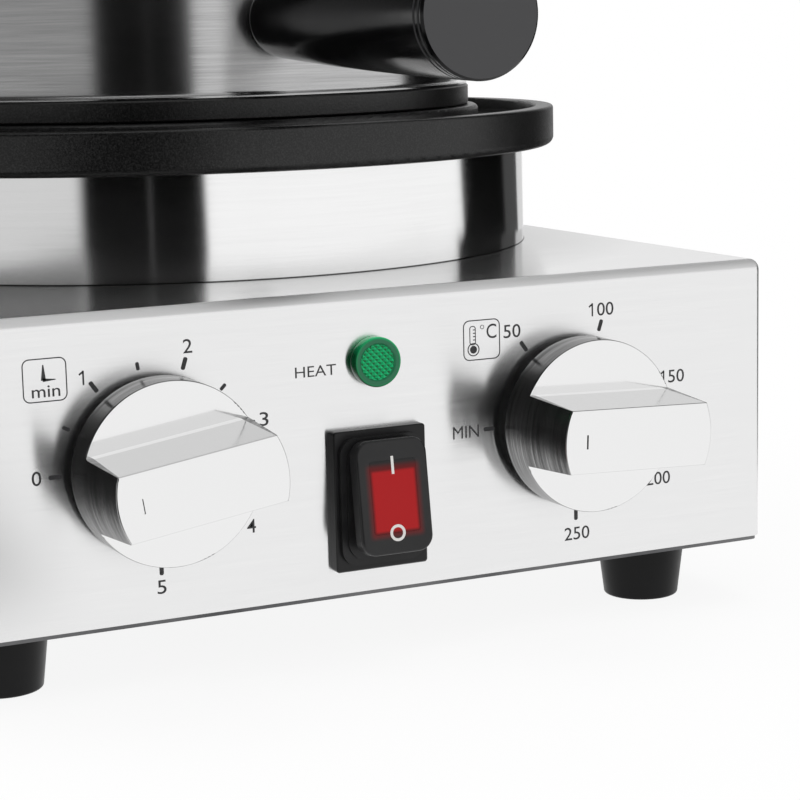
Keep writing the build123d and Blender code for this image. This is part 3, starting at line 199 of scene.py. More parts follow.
def new_material(name):
    """A material by its name, its node tree and its Principled shader."""
    material = bpy.data.materials.new(name)
    material.use_nodes = True
    return material, material.node_tree, material.node_tree.nodes["Principled BSDF"].inputs


def add_place(tree):
    """Where each point of a piece is, in metres from the machine's middle at its feet."""
    return add_node(tree, "ShaderNodeTexCoord").outputs["Object"]


table_size = 12.0
table_glow = 0.95
shaded_glow = 0.9
shade_edge = (0.2, 0.34)
left_floor = 0.66
gap_starts = 0.235
gap_full = 0.3
deselect_all()
bpy.ops.mesh.primitive_plane_add(size=table_size)
table = bpy.context.object
table.name = "table"
material, tree, surface = new_material("white_table")
surface["Base Color"].default_value = (0.93, 0.93, 0.93, 1.0)
surface["Roughness"].default_value = 0.9
surface["Specular IOR Level"].default_value = 0.0
place = add_place(tree)
away = add_vector_sum(tree, "LENGTH", place, result="Value")
beyond = add_range(tree, away, gap_starts, gap_full, steps="SMOOTHSTEP")
seen = add_node(tree, "ShaderNodeLightPath").outputs["Is Camera Ray"]
mirrored = add_mix(tree, beyond, table_glow, add_room(tree, place, left_floor))
grey = add_mix(tree, seen, mirrored, 1.0)
glow = add_node(tree, "ShaderNodeEmission", {"Strength": grey}).outputs[0]
glare = add_range(tree, away, *shade_edge, shaded_glow, 1.0, "SMOOTHSTEP")
share = add_sum(tree, "MAXIMUM", add_sum(tree, "MULTIPLY", seen, glare), add_reflected(tree))
sheet = tree.nodes["Principled BSDF"].outputs[0]
mixed = add_node(tree, "ShaderNodeMixShader", {0: share, 1: sheet, 2: glow}).outputs[0]
tree.links.new(mixed, tree.nodes["Material Output"].inputs["Surface"])
table.data.materials.append(material)


# Lamps
# Two soft boxes, one over the machine and one high at its front left. They give the shapes a soft
# shadow and the black parts their highlights.
def soft_box(name, place, width, tall, power):
    """A rectangular lamp that faces the machine."""
    data = bpy.data.lights.new(name, "AREA")
    data.shape = "RECTANGLE"
    data.size = width
    data.size_y = tall
    data.energy = power
    lamp = bpy.data.objects.new(name, data)
    bpy.context.scene.collection.objects.link(lamp)
    lamp.location = place
    lamp.visible_glossy = False
    lamp.rotation_euler = (lamp_target - Vector(place)).to_track_quat("-Z", "Y").to_euler()


lamp_target = Vector((0.0, 0.0, 0.1))
soft_box("lamp_over", (0.1, 0.1, 1.5), width=1.2, tall=0.9, power=7.0)
soft_box("lamp_front_left", (-1.1, -1.0, 1.3), width=0.7, tall=0.9, power=7.0)


# Box shell
# One stainless sheet, brushed along its width before it is folded down at the front, the rear and
# both sides. The lines run across the front and the top, and stand upright on the two sides.
def new_group(name, inputs, outputs):
    """A node group with named sockets, with what it is given and where its results go."""
    group = bpy.data.node_groups.new(name, "ShaderNodeTree")
    for socket, kind, value in inputs:
        made = group.interface.new_socket(socket, in_out="INPUT", socket_type=kind)
        if value is not None:
            made.default_value = value
    for socket, kind in outputs:
        group.interface.new_socket(socket, in_out="OUTPUT", socket_type=kind)
    given, result = group.nodes.new("NodeGroupInput"), group.nodes.new("NodeGroupOutput")
    return group, given.outputs, result.inputs


def use_group(tree, group, **inputs):
    """The outputs of a node group placed in a material with its own values."""
    return add_node(tree, "ShaderNodeGroup", inputs, node_tree=group).outputs


def add_vector(tree, x, y, z):
    """A vector of three parts."""
    return add_node(tree, "ShaderNodeCombineXYZ", {"X": x, "Y": y, "Z": z}).outputs[0]


def add_noise(tree, vector, scale, detail, roughness=0.5, distortion=0.0):
    """Cloudy noise from 0 to 1."""
    inputs = {"Vector": vector, "Scale": scale, "Detail": detail}
    inputs.update({"Roughness": roughness, "Distortion": distortion})
    return add_node(tree, "ShaderNodeTexNoise", inputs).outputs[0]


def build_brushed_lines():
    """Lines left by a belt or a tool: short sharp ones over long faint ones.

    Vector lies with Z across the lines. Along and Across say how many lines go in a metre."""
    group, given, result = new_group(
        "brushed_lines",
        [
            ("Vector", "NodeSocketVector", None),
            ("Along", "NodeSocketFloat", 70.0),
            ("Across", "NodeSocketFloat", 3000.0),
        ],
        [("Lines", "NodeSocketFloat")],
    )
    sharp, faint = (0.6, 1.0, 1.0), (0.4, 0.3, 0.15)
    total = 0.0
    for share, length, width in (sharp, faint):
        along = add_sum(group, "MULTIPLY", given["Along"], length)
        across = add_sum(group, "MULTIPLY", given["Across"], width)
        scale = add_vector(group, along, along, across)
        laid = add_vector_sum(group, "MULTIPLY", given["Vector"], scale)
        lines = add_noise(group, laid, scale=1.0, detail=2.0, roughness=0.6)
        total = add_sum(group, "ADD", add_sum(group, "MULTIPLY", lines, share), total)
    group.links.new(total, result["Lines"])
    return group


def add_colours(tree, factor, first, second):
    """A colour between two others, as a factor from 0 to 1 says. Each is a colour or an output."""
    inputs = {0: factor}
    for socket, colour in ((6, first), (7, second)):
        inputs[socket] = colour if isinstance(colour, bpy.types.NodeSocket) else (*colour, 1.0)
    return add_node(tree, "ShaderNodeMix", inputs, data_type="RGBA").outputs[2]


def add_bump(tree, surface, height, depth):
    """Raises a surface's shading by a height from 0 to 1, whose depth is in metres."""
    bump = add_node(tree, "ShaderNodeBump", {"Height": height, "Strength": 1.0, "Distance": depth})
    tree.links.new(bump.outputs[0], surface["Normal"])


def add_radius(tree, place, middle, plane):
    """The distance from an axis through a middle. Plane is 1 both ways across the axis."""
    off = add_vector_sum(tree, "SUBTRACT", place, middle)
    off = add_vector_sum(tree, "MULTIPLY", off, plane)
    return add_vector_sum(tree, "LENGTH", off, result="Value")


def brush_metal(tree, surface, lines, dark, light, smooth, rough, depth, stretch=0.0, shade_and_seam=0.0):
    """Feeds brushed lines to a metal's colour, roughness and bump, whose depth is in metres.

    Stretch draws its reflections out along the shader's tangent. The last argument masks where the
    colour darkens: painted shade round the drum's foot, and dark seams at joints."""
    surface["Metallic"].default_value = 1.0
    surface["Anisotropic"].default_value = stretch
    worn = add_range(tree, lines, *lines_spread)
    clean = add_colours(tree, worn, dark, light)
    tree.links.new(add_colours(tree, shade_and_seam, clean, shade_and_seam_colour), surface["Base Color"])
    tree.links.new(add_mix(tree, worn, rough, smooth), surface["Roughness"])
    add_bump(tree, surface, lines, depth)


def give(material, *nodes):
    """Puts a material on CAD nodes."""
    for node in nodes:
        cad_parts[node].material_slots[0].material = material


lines_spread = (0.3, 0.7)
# The dark colour for painted shade round the drum's foot, and for the seams at joints.
shade_and_seam_colour = (0.08, 0.08, 0.08)
seam_wide = 0.0004
painted_shade_reach = 0.15
painted_shade_depth = 0.34
across_z = (1.0, 1.0, 0.0)
side_facing = 0.7
bend_facing = (-0.3, -0.1)
bend_rough = 0.5
drum_middle = sum(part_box("lower_drum"), Vector()) / 2
drum_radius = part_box("lower_drum")[1].x
brushed_lines = build_brushed_lines()
material, tree, surface = new_material("panel_steel")
coordinates = add_node(tree, "ShaderNodeTexCoord").outputs
place = add_split(tree, coordinates["Object"])
facing = add_split(tree, coordinates["Normal"])
on_side = add_sum(tree, "GREATER_THAN", add_sum(tree, "ABSOLUTE", facing["X"]), side_facing)
along = add_mix(tree, on_side, place["X"], place["Z"])
across = add_mix(tree, on_side, add_sum(tree, "ADD", place["Y"], place["Z"]), place["Y"])
laid = add_vector(tree, along, 0.0, across)
lines = use_group(tree, brushed_lines, Vector=laid, Along=60.0, Across=3200.0)["Lines"]
radius = add_radius(tree, coordinates["Object"], drum_middle, across_z)
# Painted shade: the box top is darkened round the drum's foot, where the drum shades it. A thin
# dark seam runs at the joint.
painted_shade = add_range(tree, radius, drum_radius, painted_shade_reach, painted_shade_depth, 0.0)
seam = add_range(tree, radius, drum_radius + seam_wide / 2, drum_radius + seam_wide, 1.0, 0.0)
shade_and_seam = add_sum(tree, "MAXIMUM", painted_shade, seam)
light, dark = (0.885, 0.885, 0.885), (0.855, 0.855, 0.857)
gloss = {"smooth": 0.16, "rough": 0.2, "depth": 0.0000002, "stretch": 0.9}
brush_metal(tree, surface, lines, dark, light, **gloss, shade_and_seam=shade_and_seam)
bent = add_range(tree, add_sum(tree, "MULTIPLY", facing["Y"], facing["Z"]), *bend_facing, 1.0, 0.0)
flat_rough = surface["Roughness"].links[0].from_socket
tree.links.new(add_mix(tree, bent, flat_rough, bend_rough), surface["Roughness"])
upright = add_sum(tree, "SUBTRACT", 1.0, on_side)
tree.links.new(add_vector(tree, 0.0, 1.0, upright), surface["Tangent"])
give(material, "base_shell")


# Panel printing
# Dark grey ink on the front panel, screen printed: the minutes round the timer, the degrees round
# the thermostat, a clock and a thermometer in boxes, and HEAT beside the lamp.
ink_thick = 0.00005
ink_spread = (0.35, 0.75)
panel_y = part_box("base_shell")[0].y
panel_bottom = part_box("base_shell")[0].z
letter_share = 0.7
timer_middle = sum(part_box("timer_shaft"), Vector()) / 2
thermostat_middle = sum(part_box("thermostat_shaft"), Vector()) / 2


def stand_on_panel(x, z, turn=0.0):
    """Stands the flat shape in hand on the panel, turned in degrees, and applies its place."""
    shape = bpy.context.object
    shape.rotation_euler = (math.pi / 2, -math.radians(turn), 0.0)
    shape.location = (x, panel_y, z)
    bpy.ops.object.transform_apply(location=True, rotation=True, scale=True)
    return shape


def print_text(words, height, width, x, z, bold=0.00002):
    """A word or number with its middle at a place on the panel, drawn out to its width."""
    deselect_all()
    bpy.ops.object.text_add()
    text = bpy.context.object.data
    text.body = words
    text.size = height / letter_share
    text.offset = bold
    text.extrude = ink_thick / 2
    text.resolution_u = 4
    bpy.ops.object.convert(target="MESH")
    bpy.ops.object.origin_set(type="ORIGIN_GEOMETRY", center="BOUNDS")
    bpy.context.object.scale.x = width / bpy.context.object.dimensions.x
    return stand_on_panel(x, z)


def thicken_ink():
    """Gives the flat shape in edit mode the ink's thickness, half of it each side."""
    bpy.ops.mesh.select_all(action="SELECT")
    bpy.ops.transform.translate(value=(0.0, 0.0, -ink_thick / 2))
    bpy.ops.mesh.extrude_region_move(TRANSFORM_OT_translate={"value": (0.0, 0.0, ink_thick)})
    bpy.ops.mesh.select_all(action="SELECT")
    bpy.ops.mesh.normals_make_consistent(inside=False)
    bpy.ops.object.mode_set(mode="OBJECT")


def flat_box(width, tall, corner):
    """A flat box with round corners, left in edit mode."""
    deselect_all()
    bpy.ops.mesh.primitive_plane_add(size=1.0)
    bpy.context.object.scale = (width, tall, 1.0)
    bpy.ops.object.transform_apply(scale=True)
    bpy.ops.object.mode_set(mode="EDIT")
    bpy.ops.mesh.select_all(action="SELECT")
    bpy.ops.mesh.bevel(offset=corner, segments=5, affect="VERTICES")


def hollow_face(line):
    """Leaves only a line's width of the one flat face in edit mode."""
    bpy.ops.mesh.select_all(action="SELECT")
    bpy.ops.mesh.inset(thickness=line, depth=0.0)
    bpy.ops.mesh.delete(type="FACE")


def print_bar(width, tall, corner, x, z, turn=0.0, line=None):
    """A bar or box on the panel, solid, or hollow where a line's width is given."""
    flat_box(width, tall, corner)
    if line:
        hollow_face(line)
    thicken_ink()
    return stand_on_panel(x, z, turn)


def print_hand(length, wide, tip, x, z, turn):
    """A clock hand that tapers from its foot, at a place on the panel, to its tip."""
    deselect_all()
    bpy.ops.mesh.primitive_plane_add(size=length, location=(length / 2, 0.0, 0.0))
    bpy.ops.object.transform_apply(location=True)
    for point in bpy.context.object.data.vertices:
        point.co.y *= (wide if point.co.x < length / 2 else tip) / length
    bpy.ops.object.mode_set(mode="EDIT")
    thicken_ink()
    return stand_on_panel(x, z, turn)


def print_one(x, z):
    """A figure one: an upright bar with a short flag, which the font's own lacks."""
    stem = print_bar(one_line, number_tall, ink_corner, x, z)
    reach = one_flag * math.cos(math.radians(one_slope)) / 2
    drop = one_flag * math.sin(math.radians(one_slope)) / 2 + one_line / 2
    flag_z = z + number_tall / 2 - drop
    flag = print_bar(one_flag, one_line, ink_corner, x - reach, flag_z, one_slope)
    return [stem, flag]


def print_number(words, x, z):
    """A number with its middle at a place on the panel."""
    wide = number_wide[len(words)]
    if not words.startswith("1"):
        return [print_text(words, number_tall, wide, x, z)]
    if words == "1":
        return print_one(x + one_wide / 4, z)
    rest = number_wide[len(words) - 1]
    rest_text = print_text(words[1:], number_tall, rest, x + wide / 2 - rest / 2, z)
    return print_one(x - wide / 2 + one_wide, z) + [rest_text]


def print_disc(radius, x, z, line=None):
    """A dot on the panel, or a ring where a line's width is given."""
    deselect_all()
    bpy.ops.mesh.primitive_circle_add(vertices=40, radius=radius, fill_type="NGON")
    bpy.ops.object.mode_set(mode="EDIT")
    if line:
        hollow_face(line)
    thicken_ink()
    return stand_on_panel(x, z)


def print_scale(middle, majors, minors):
    """Radial marks round a knob: long thick ones at the numbers and short thin ones between."""
    marks = []
    for angles, (outer, width) in ((majors, major_mark), (minors, minor_mark)):
        for angle in angles:
            radius = (mark_inner + outer) / 2
            x = middle.x + radius * math.cos(math.radians(angle))
            z = middle.z + radius * math.sin(math.radians(angle))
            marks.append(print_bar(outer - mark_inner, width, width * mark_corner, x, z, angle))
    return marks


def join_all(pieces):
    """Joins pieces into the first one and leaves it in hand."""
    deselect_all()
    for piece in pieces:
        piece.select_set(True)
    bpy.context.view_layer.objects.active = pieces[0]
    bpy.ops.object.join()
    return pieces[0]


def finish_piece(name, material, body, replaces=(), smooth=30.0):
    """Names the piece in hand, and gives it its shading, material, body and what it replaces."""
    piece = bpy.context.object
    bpy.ops.object.transform_apply(location=True, rotation=True, scale=True)
    bpy.ops.object.shade_smooth_by_angle(angle=math.radians(smooth))
    piece.name = name
    piece.data.name = name
    piece.data.materials.clear()
    piece.data.materials.append(material)
    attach(piece, body)
    if replaces:
        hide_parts(*replaces)
    return piece


material, tree, surface = new_material("panel_ink")
place = add_place(tree)
thin = add_range(tree, add_noise(tree, place, scale=2600.0, detail=2.0), *ink_spread)
ink = add_colours(tree, thin, (0.02, 0.02, 0.022), (0.06, 0.06, 0.062))
tree.links.new(ink, surface["Base Color"])
surface["Roughness"].default_value = 0.55
panel_ink = material
number_tall = 0.0036
number_wide = {1: 0.00245, 2: 0.0052, 3: 0.0079}
one_wide = 0.0012
one_line = 0.00046
one_flag = 0.0013
one_slope = 36.0
ink_corner = 0.00004
mark_inner = 0.025
mark_corner = 0.4
major_mark = (0.0283, 0.00115)
minor_mark = (0.0271, 0.00095)
major_angles = (180, 126, 72, 18, -36, -90)
minor_angles = (153, 99, 45, -9, -63)
minutes = print_scale(timer_middle, major_angles, minor_angles)
minute_numbers = (
    ("0", -0.09182, 0.04001), ("1", -0.07901, 0.06398), ("2", -0.05118, 0.06960),
    ("3", -0.03119, 0.04900), ("4", -0.03567, 0.02143), ("5", -0.06060, 0.00856),
)
for words, x, z in minute_numbers:
    minutes += print_number(words, x, panel_bottom + z)
join_all(minutes)
finish_piece("timer_scale", panel_ink, "base")
degrees = print_scale(thermostat_middle, major_angles, ())
degree_numbers = (
    ("50", 0.04134, 0.06588), ("100", 0.06908, 0.06970), ("150", 0.09187, 0.04908),
    ("200", 0.08715, 0.02049), ("250", 0.06079, 0.00787),
)
for words, x, z in degree_numbers:
    degrees += print_number(words, x, panel_bottom + z)
degrees.append(print_text("MIN", 0.0034, 0.0078, 0.02688, panel_bottom + 0.03973, bold=0.0))
join_all(degrees)
finish_piece("thermostat_scale", panel_ink, "base")
print_text("HEAT", 0.00287, 0.01155, -0.0164, panel_bottom + 0.06013, bold=0.0)
finish_piece("heat_word", panel_ink, "base")
sign_z = panel_bottom + 0.0643
sign_tall = 0.0109
sign_corner = 0.0018
sign_line = 0.0003
clock = [
    print_bar(0.0113, sign_tall, sign_corner, -0.0885, sign_z, line=sign_line),
    print_hand(0.0039, 0.0013, 0.0003, -0.0888, sign_z - 0.0001, 90),
    print_hand(0.0033, 0.0009, 0.0002, -0.0890, sign_z, 0),
    print_text("min", 0.0031, 0.0072, -0.0883, sign_z - 0.0028),
]
join_all(clock)
finish_piece("clock_sign", panel_ink, "base")
thermometer = [
    print_bar(0.0111, sign_tall, sign_corner, 0.0321, sign_z, line=sign_line),
    print_bar(0.0019, 0.0052, 0.0008, 0.0294, sign_z + 0.0013, line=0.00025),
    print_disc(0.0018, 0.0296, sign_z - 0.0025, line=sign_line),
    print_disc(0.00105, 0.0296, sign_z - 0.0025),
    print_disc(0.0006, 0.0323, sign_z + 0.0034, line=0.00018),
    print_text("C", 0.0039, 0.0030, 0.0351, sign_z + 0.0021),
]
tick_step = 0.0009
for step in range(4):
    tick_z = sign_z + 0.0001 + step * tick_step
    thermometer.append(print_bar(0.0008, 0.00028, ink_corner, 0.0299, tick_z))
join_all(thermometer)
finish_piece("thermometer_sign", panel_ink, "base")


# Bottom plate and its screws
# A plain steel sheet that closes the box from below, coloured dark grey as painted shade for the
# shadow under the box. Seven screws from below hold it to the flanges that are folded inwards at
# the box's foot.
def new_plated(name, dark, light, smooth, rough, size=900.0):
    """A bare or plated metal part, with the cloudy patches and small pits of its surface."""
    material, tree, surface = new_material(name)
    surface["Metallic"].default_value = 1.0
    place = add_place(tree)
    cloud = add_noise(tree, place, scale=size / 8, detail=4.0)
    patch = add_range(tree, cloud, *cloud_spread)
    tree.links.new(add_colours(tree, patch, dark, light), surface["Base Color"])
    tree.links.new(add_mix(tree, patch, rough, smooth), surface["Roughness"])
    add_bump(tree, surface, add_noise(tree, place, scale=size * 2, detail=2.0), pit_depth)
    return material


pit_depth = 0.000004
cloud_spread = (0.35, 0.65)
# Painted shade: the plate's steel is darkened to stand for the shadow under the box.
dark, light = (0.12, 0.12, 0.125), (0.2, 0.2, 0.205)
bottom_steel = new_plated("bottom_steel", dark, light, smooth=0.4, rough=0.55, size=300.0)
give(bottom_steel, "base_bottom_plate")
dark, light = (0.6, 0.6, 0.61), (0.74, 0.74, 0.74)
fastener_steel = new_plated("fastener_steel", dark, light, smooth=0.2, rough=0.34)
give(fastener_steel, "bottom_plate_screws")


# Feet
# Four tapered feet of moulded rubber, one under each corner. A screw up through each foot's well
# pulls it to the bottom plate, with a nut inside.
def build_moulded_skin():
    """The skin of a moulded part: a fine grain from the tool, and faint clouds in its gloss."""
    group, given, result = new_group(
        "moulded_skin",
        [("Vector", "NodeSocketVector", None), ("Size", "NodeSocketFloat", 2500.0)],
        [("Grain", "NodeSocketFloat"), ("Cloud", "NodeSocketFloat")],
    )
    grain = add_noise(group, given["Vector"], given["Size"], detail=3.0, roughness=0.6)
    group.links.new(grain, result["Grain"])
    cloud = add_noise(group, given["Vector"], scale=90.0, detail=4.0, roughness=0.55)
    group.links.new(add_range(group, cloud, *cloud_spread), result["Cloud"])
    return group


moulded_skin = build_moulded_skin()


def new_moulded(name, dark, light, smooth, rough, grain=2500.0, depth=0.00001, shine=0.5):
    """A moulded rubber or plastic."""
    material, tree, surface = new_material(name)
    surface["Specular IOR Level"].default_value = shine
    place = add_place(tree)
    skin = use_group(tree, moulded_skin, Vector=place, Size=grain)
    tree.links.new(add_colours(tree, skin["Cloud"], dark, light), surface["Base Color"])
    tree.links.new(add_mix(tree, skin["Cloud"], smooth, rough), surface["Roughness"])
    add_bump(tree, surface, skin["Grain"], depth)
    return material


dark, light = (0.003, 0.003, 0.0033), (0.006, 0.006, 0.0065)
foot_rubber = new_moulded("foot_rubber", dark, light, smooth=0.3, rough=0.4, shine=0.2)
give(foot_rubber, "foot_front_left", "foot_front_right", "foot_rear_left", "foot_rear_right")
give(fastener_steel, "foot_screws", "foot_nuts")


# Lower drum
# A band of stainless sheet, spun and brushed round, that carries the lower plate above the box.
def add_round_lines(tree, axis, middle, along, across):
    """Brushed lines that run round an axis, on its sides and on its faces."""
    place = add_place(tree)
    split = add_split(tree, add_vector_sum(tree, "SUBTRACT", place, middle))
    first, second = (split[name] for name in "XYZ" if name != axis)
    squares = [add_sum(tree, "POWER", side, 2.0) for side in (first, second)]
    radius = add_sum(tree, "SQRT", add_sum(tree, "ADD", *squares))
    laid = add_vector(tree, first, second, add_sum(tree, "SUBTRACT", radius, split[axis]))
    return use_group(tree, brushed_lines, Vector=laid, Along=along, Across=across)["Lines"]


material, tree, surface = new_material("drum_steel")
lines = add_round_lines(tree, "Z", drum_middle, along=40.0, across=2600.0)
height = add_split(tree, add_place(tree))["Z"]
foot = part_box("lower_drum")[0].z
seam = add_range(tree, height, foot + seam_wide / 2, foot + seam_wide, 1.0, 0.0)
light, dark = (0.955, 0.955, 0.955), (0.93, 0.93, 0.93)
gloss = {"smooth": 0.12, "rough": 0.15, "depth": 0.0000001, "stretch": 0.9}
brush_metal(tree, surface, lines, dark, light, **gloss, shade_and_seam=seam)
surface["Anisotropic Rotation"].default_value = 0.25
give(material, "lower_drum")


# Lower plate
# Cast iron with a sandy black coating, a trough round the baking face for batter that runs over,
# and four studs with nuts below. A merged copy of its mesh shows, so that its rounds shade evenly.
def build_sand_grain():
    """The skin of a casting: close grains of sand, and the few that stand out."""
    group, given, result = new_group(
        "sand_grain",
        [("Vector", "NodeSocketVector", None), ("Size", "NodeSocketFloat", 1500.0)],
        [("Grain", "NodeSocketFloat"), ("Speckle", "NodeSocketFloat")],
    )
    grain = add_noise(group, given["Vector"], given["Size"], detail=3.0, roughness=0.65)
    group.links.new(grain, result["Grain"])
    finer = add_sum(group, "MULTIPLY", given["Size"], speckle_finer)
    speckle = add_noise(group, given["Vector"], finer, detail=1.0)
    group.links.new(add_range(group, speckle, *speckle_spread), result["Speckle"])
    return group


speckle_finer = 1.7
speckle_spread = (0.42, 0.72)
grain_spread = (0.3, 0.7)
iron_rough = (0.3, 0.42)
plate_iron, tree, surface = new_material("plate_iron")
place = add_place(tree)
grain = use_group(tree, build_sand_grain(), Vector=place, Size=1300.0)
iron = add_colours(tree, grain["Speckle"], (0.001, 0.001, 0.0011), (0.014, 0.014, 0.014))
tree.links.new(iron, surface["Base Color"])
tree.links.new(add_range(tree, grain["Grain"], *grain_spread, *iron_rough), surface["Roughness"])
add_bump(tree, surface, grain["Grain"], depth=0.00006)
give(plate_iron, "lower_plate")
merge_within = 0.000001
deselect_all()
casting = bpy.data.objects.new("lower_casting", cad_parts["lower_plate"].data.copy())
bpy.context.scene.collection.objects.link(casting)
casting.select_set(True)
bpy.context.view_layer.objects.active = casting
bpy.ops.mesh.customdata_custom_splitnormals_clear()
bpy.ops.object.mode_set(mode="EDIT")
bpy.ops.mesh.select_all(action="SELECT")
bpy.ops.mesh.remove_doubles(threshold=merge_within)
bpy.ops.object.mode_set(mode="OBJECT")
finish_piece("lower_casting", plate_iron, "base", ("lower_plate",), smooth=50.0)
even = casting.modifiers.new("even", "WEIGHTED_NORMAL")
even.keep_sharp = True
bpy.ops.object.modifier_apply(modifier=even.name)
give(fastener_steel, "lower_plate_studs", "lower_plate_nuts")


# Lower heating element, heat shield and insulation
# A sheathed element, pressed on the plate's underside by a steel ring. Under it lie a shield of
# aluminium sheet and a mat of mineral wool, which keep the heat out of the box.
dark, light = (0.10, 0.095, 0.09), (0.19, 0.18, 0.165)
element_sheath = new_plated("element_sheath", dark, light, smooth=0.42, rough=0.6)
dark, light = (0.76, 0.77, 0.78), (0.86, 0.87, 0.88)
shield_aluminium = new_plated("shield_aluminium", dark, light, smooth=0.26, rough=0.38)
clamp_steel = new_plated("clamp_steel", (0.5, 0.5, 0.5), (0.62, 0.61, 0.6), smooth=0.3, rough=0.45)
mineral_wool, tree, surface = new_material("mineral_wool")
place = add_place(tree)
fibre = add_noise(tree, place, scale=700.0, detail=5.0, distortion=2.0)
wool = add_colours(tree, fibre, (0.42, 0.38, 0.27), (0.68, 0.64, 0.5))
tree.links.new(wool, surface["Base Color"])
surface["Roughness"].default_value = 0.95
add_bump(tree, surface, fibre, depth=0.0008)
give(element_sheath, "lower_heating_element")
give(clamp_steel, "lower_element_clamp")
give(shield_aluminium, "lower_heat_shield")
give(mineral_wool, "lower_insulation")


# Timer and thermostat bodies
# A clockwork in a plastic case and a thermostat with a copper capillary tube, behind the panel. Two
# screws beside each steel shaft hold them, and the knobs hide their heads.
dark, light = (0.03, 0.03, 0.032), (0.05, 0.05, 0.052)
control_plastic = new_moulded("control_plastic", dark, light, smooth=0.4, rough=0.5)
give(control_plastic, "timer_body", "thermostat_body")
dark, light = (0.66, 0.33, 0.2), (0.8, 0.45, 0.3)
give(new_plated("capillary_copper", dark, light, smooth=0.2, rough=0.35), "thermostat_capillary")
give(fastener_steel, "control_screws", "timer_shaft", "thermostat_shaft")


# Knobs
# Turned from aluminium: a round skirt with a bar grip across it. The tool leaves fine rings on the
# sides, and the faces in front are polished. In the colour, the faces in front and a fine line
# along the bar's root are painted highlight, and the ringed and plain sides are painted shade.
across_y = (1.0, 0.0, 1.0)
knob_turned = 0.0219
turned_edge = 0.0002
polished_facing = (-0.99, -0.75)
painted_face_shades = (0.6, 1.0)
turned_spread = (0.35, 0.65)
turned_painted_shade = (0.26, 0.46)
skirt_front = panel_y - 0.0128
painted_root_width = 0.0016
for node, middle in (("timer_knob", timer_middle), ("thermostat_knob", thermostat_middle)):
    material, tree, surface = new_material(node + "_metal")
    lines = add_round_lines(tree, "Y", middle, along=60.0, across=3600.0)
    coordinates = add_node(tree, "ShaderNodeTexCoord").outputs
    facing = add_split(tree, coordinates["Normal"])["Y"]
    # Painted light: faces that look to the front are painted lighter, and the sides darker.
    polished_painted_face = add_range(tree, facing, *polished_facing, 1.0, 0.0)
    radius = add_radius(tree, coordinates["Object"], middle, across_y)
    turned = add_range(tree, radius, knob_turned - turned_edge, knob_turned)
    turned = add_sum(tree, "MULTIPLY", turned, add_sum(tree, "SUBTRACT", 1.0, polished_painted_face))
    depth = add_split(tree, coordinates["Object"])["Y"]
    # Painted highlight: a thin line along the bar's root, just in front of the skirt, is painted as
    # bright as the front faces.
    painted_root_highlight = add_range(tree, depth, skirt_front - painted_root_width, skirt_front - painted_root_width / 2)
    plain = add_mix(tree, add_sum(tree, "MAXIMUM", polished_painted_face, painted_root_highlight), *painted_face_shades)
    lines = add_mix(tree, turned, plain, add_range(tree, lines, *turned_spread, *turned_painted_shade))
    dark, light = (0.1, 0.1, 0.1), (0.89, 0.89, 0.89)
    brush_metal(tree, surface, lines, dark, light, smooth=0.07, rough=0.27, depth=0.0)
    give(material, node)


# Pilot lamp
# A green lens pushed through the panel: a round rim, and a sunk face cut into small pyramids that
# scatter the light. Its holder and spring clip sit behind.
lamp_radius = 0.0066
lamp_stands = 0.0033
lamp_rim = 0.0016
lamp_step = 0.0003
lamp_sunk = 0.0007
lamp_round = 0.0006
lamp_tail_inset = 0.0020
lamp_tail_length = 0.0072
lamp_steps = 64
facet_size = 0.0012
facets_across = 8
facet_tall = 0.00045
facet_backing = 0.0006
cutter_long = 0.01
lens_rim_edge = (0.0046, 0.0048)
lens_side_edge = (0.0059, 0.0062)
# How the painted light on the lens leans: from above and from the right.
light_from_above, light_from_right = 0.6, 0.55
painted_field_turn, painted_edge_turn = (-0.36, 0.36), (-0.3, 0.5)
lens_rough = (0.08, 0.14)
lamp_z = sum(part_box("lamp_lens"), Vector()).z / 2


def add_bevel(width, segments, angle=30.0):
    """Rounds the sharp edges of the shape in hand."""
    rounding = bpy.context.object.modifiers.new("rounding", "BEVEL")
    rounding.width = width
    rounding.segments = segments
    rounding.angle_limit = math.radians(angle)
    bpy.ops.object.modifier_apply(modifier=rounding.name)


def pick_faces(wanted):
    """Selects the faces in edit mode that a test on a face is true for."""
    mesh = bmesh.from_edit_mesh(bpy.context.object.data)
    bpy.ops.mesh.select_mode(type="FACE")
    for face in mesh.faces:
        face.select_set(wanted(face))
    mesh.select_flush_mode()
    bmesh.update_edit_mesh(bpy.context.object.data)


deselect_all()
bpy.ops.mesh.primitive_grid_add(
    x_subdivisions=facets_across, y_subdivisions=facets_across, size=facet_size * facets_across
)
facets = bpy.context.object
facets.rotation_euler.z = math.radians(45)
bpy.ops.object.transform_apply(rotation=True)
bpy.ops.object.mode_set(mode="EDIT")
bpy.ops.mesh.select_all(action="SELECT")
bpy.ops.mesh.poke(offset=facet_tall)
bpy.ops.object.mode_set(mode="OBJECT")
backing = facets.modifiers.new("backing", "SOLIDIFY")
backing.thickness = facet_backing
bpy.ops.object.modifier_apply(modifier=backing.name)
bpy.ops.mesh.primitive_cylinder_add(
    vertices=lamp_steps, radius=lamp_radius - lamp_rim - lamp_step, depth=cutter_long
)
round_cutter = bpy.context.object
deselect_all()
facets.select_set(True)
bpy.context.view_layer.objects.active = facets
cut = facets.modifiers.new("cut", "BOOLEAN")
cut.operation = "INTERSECT"
cut.object = round_cutter
bpy.ops.object.modifier_apply(modifier=cut.name)
bpy.data.objects.remove(round_cutter)
facets.location.z = lamp_stands - lamp_sunk
bpy.ops.object.transform_apply(location=True)
deselect_all()
bpy.ops.mesh.primitive_circle_add(vertices=lamp_steps, radius=lamp_radius, fill_type="NGON")
bpy.ops.object.mode_set(mode="EDIT")
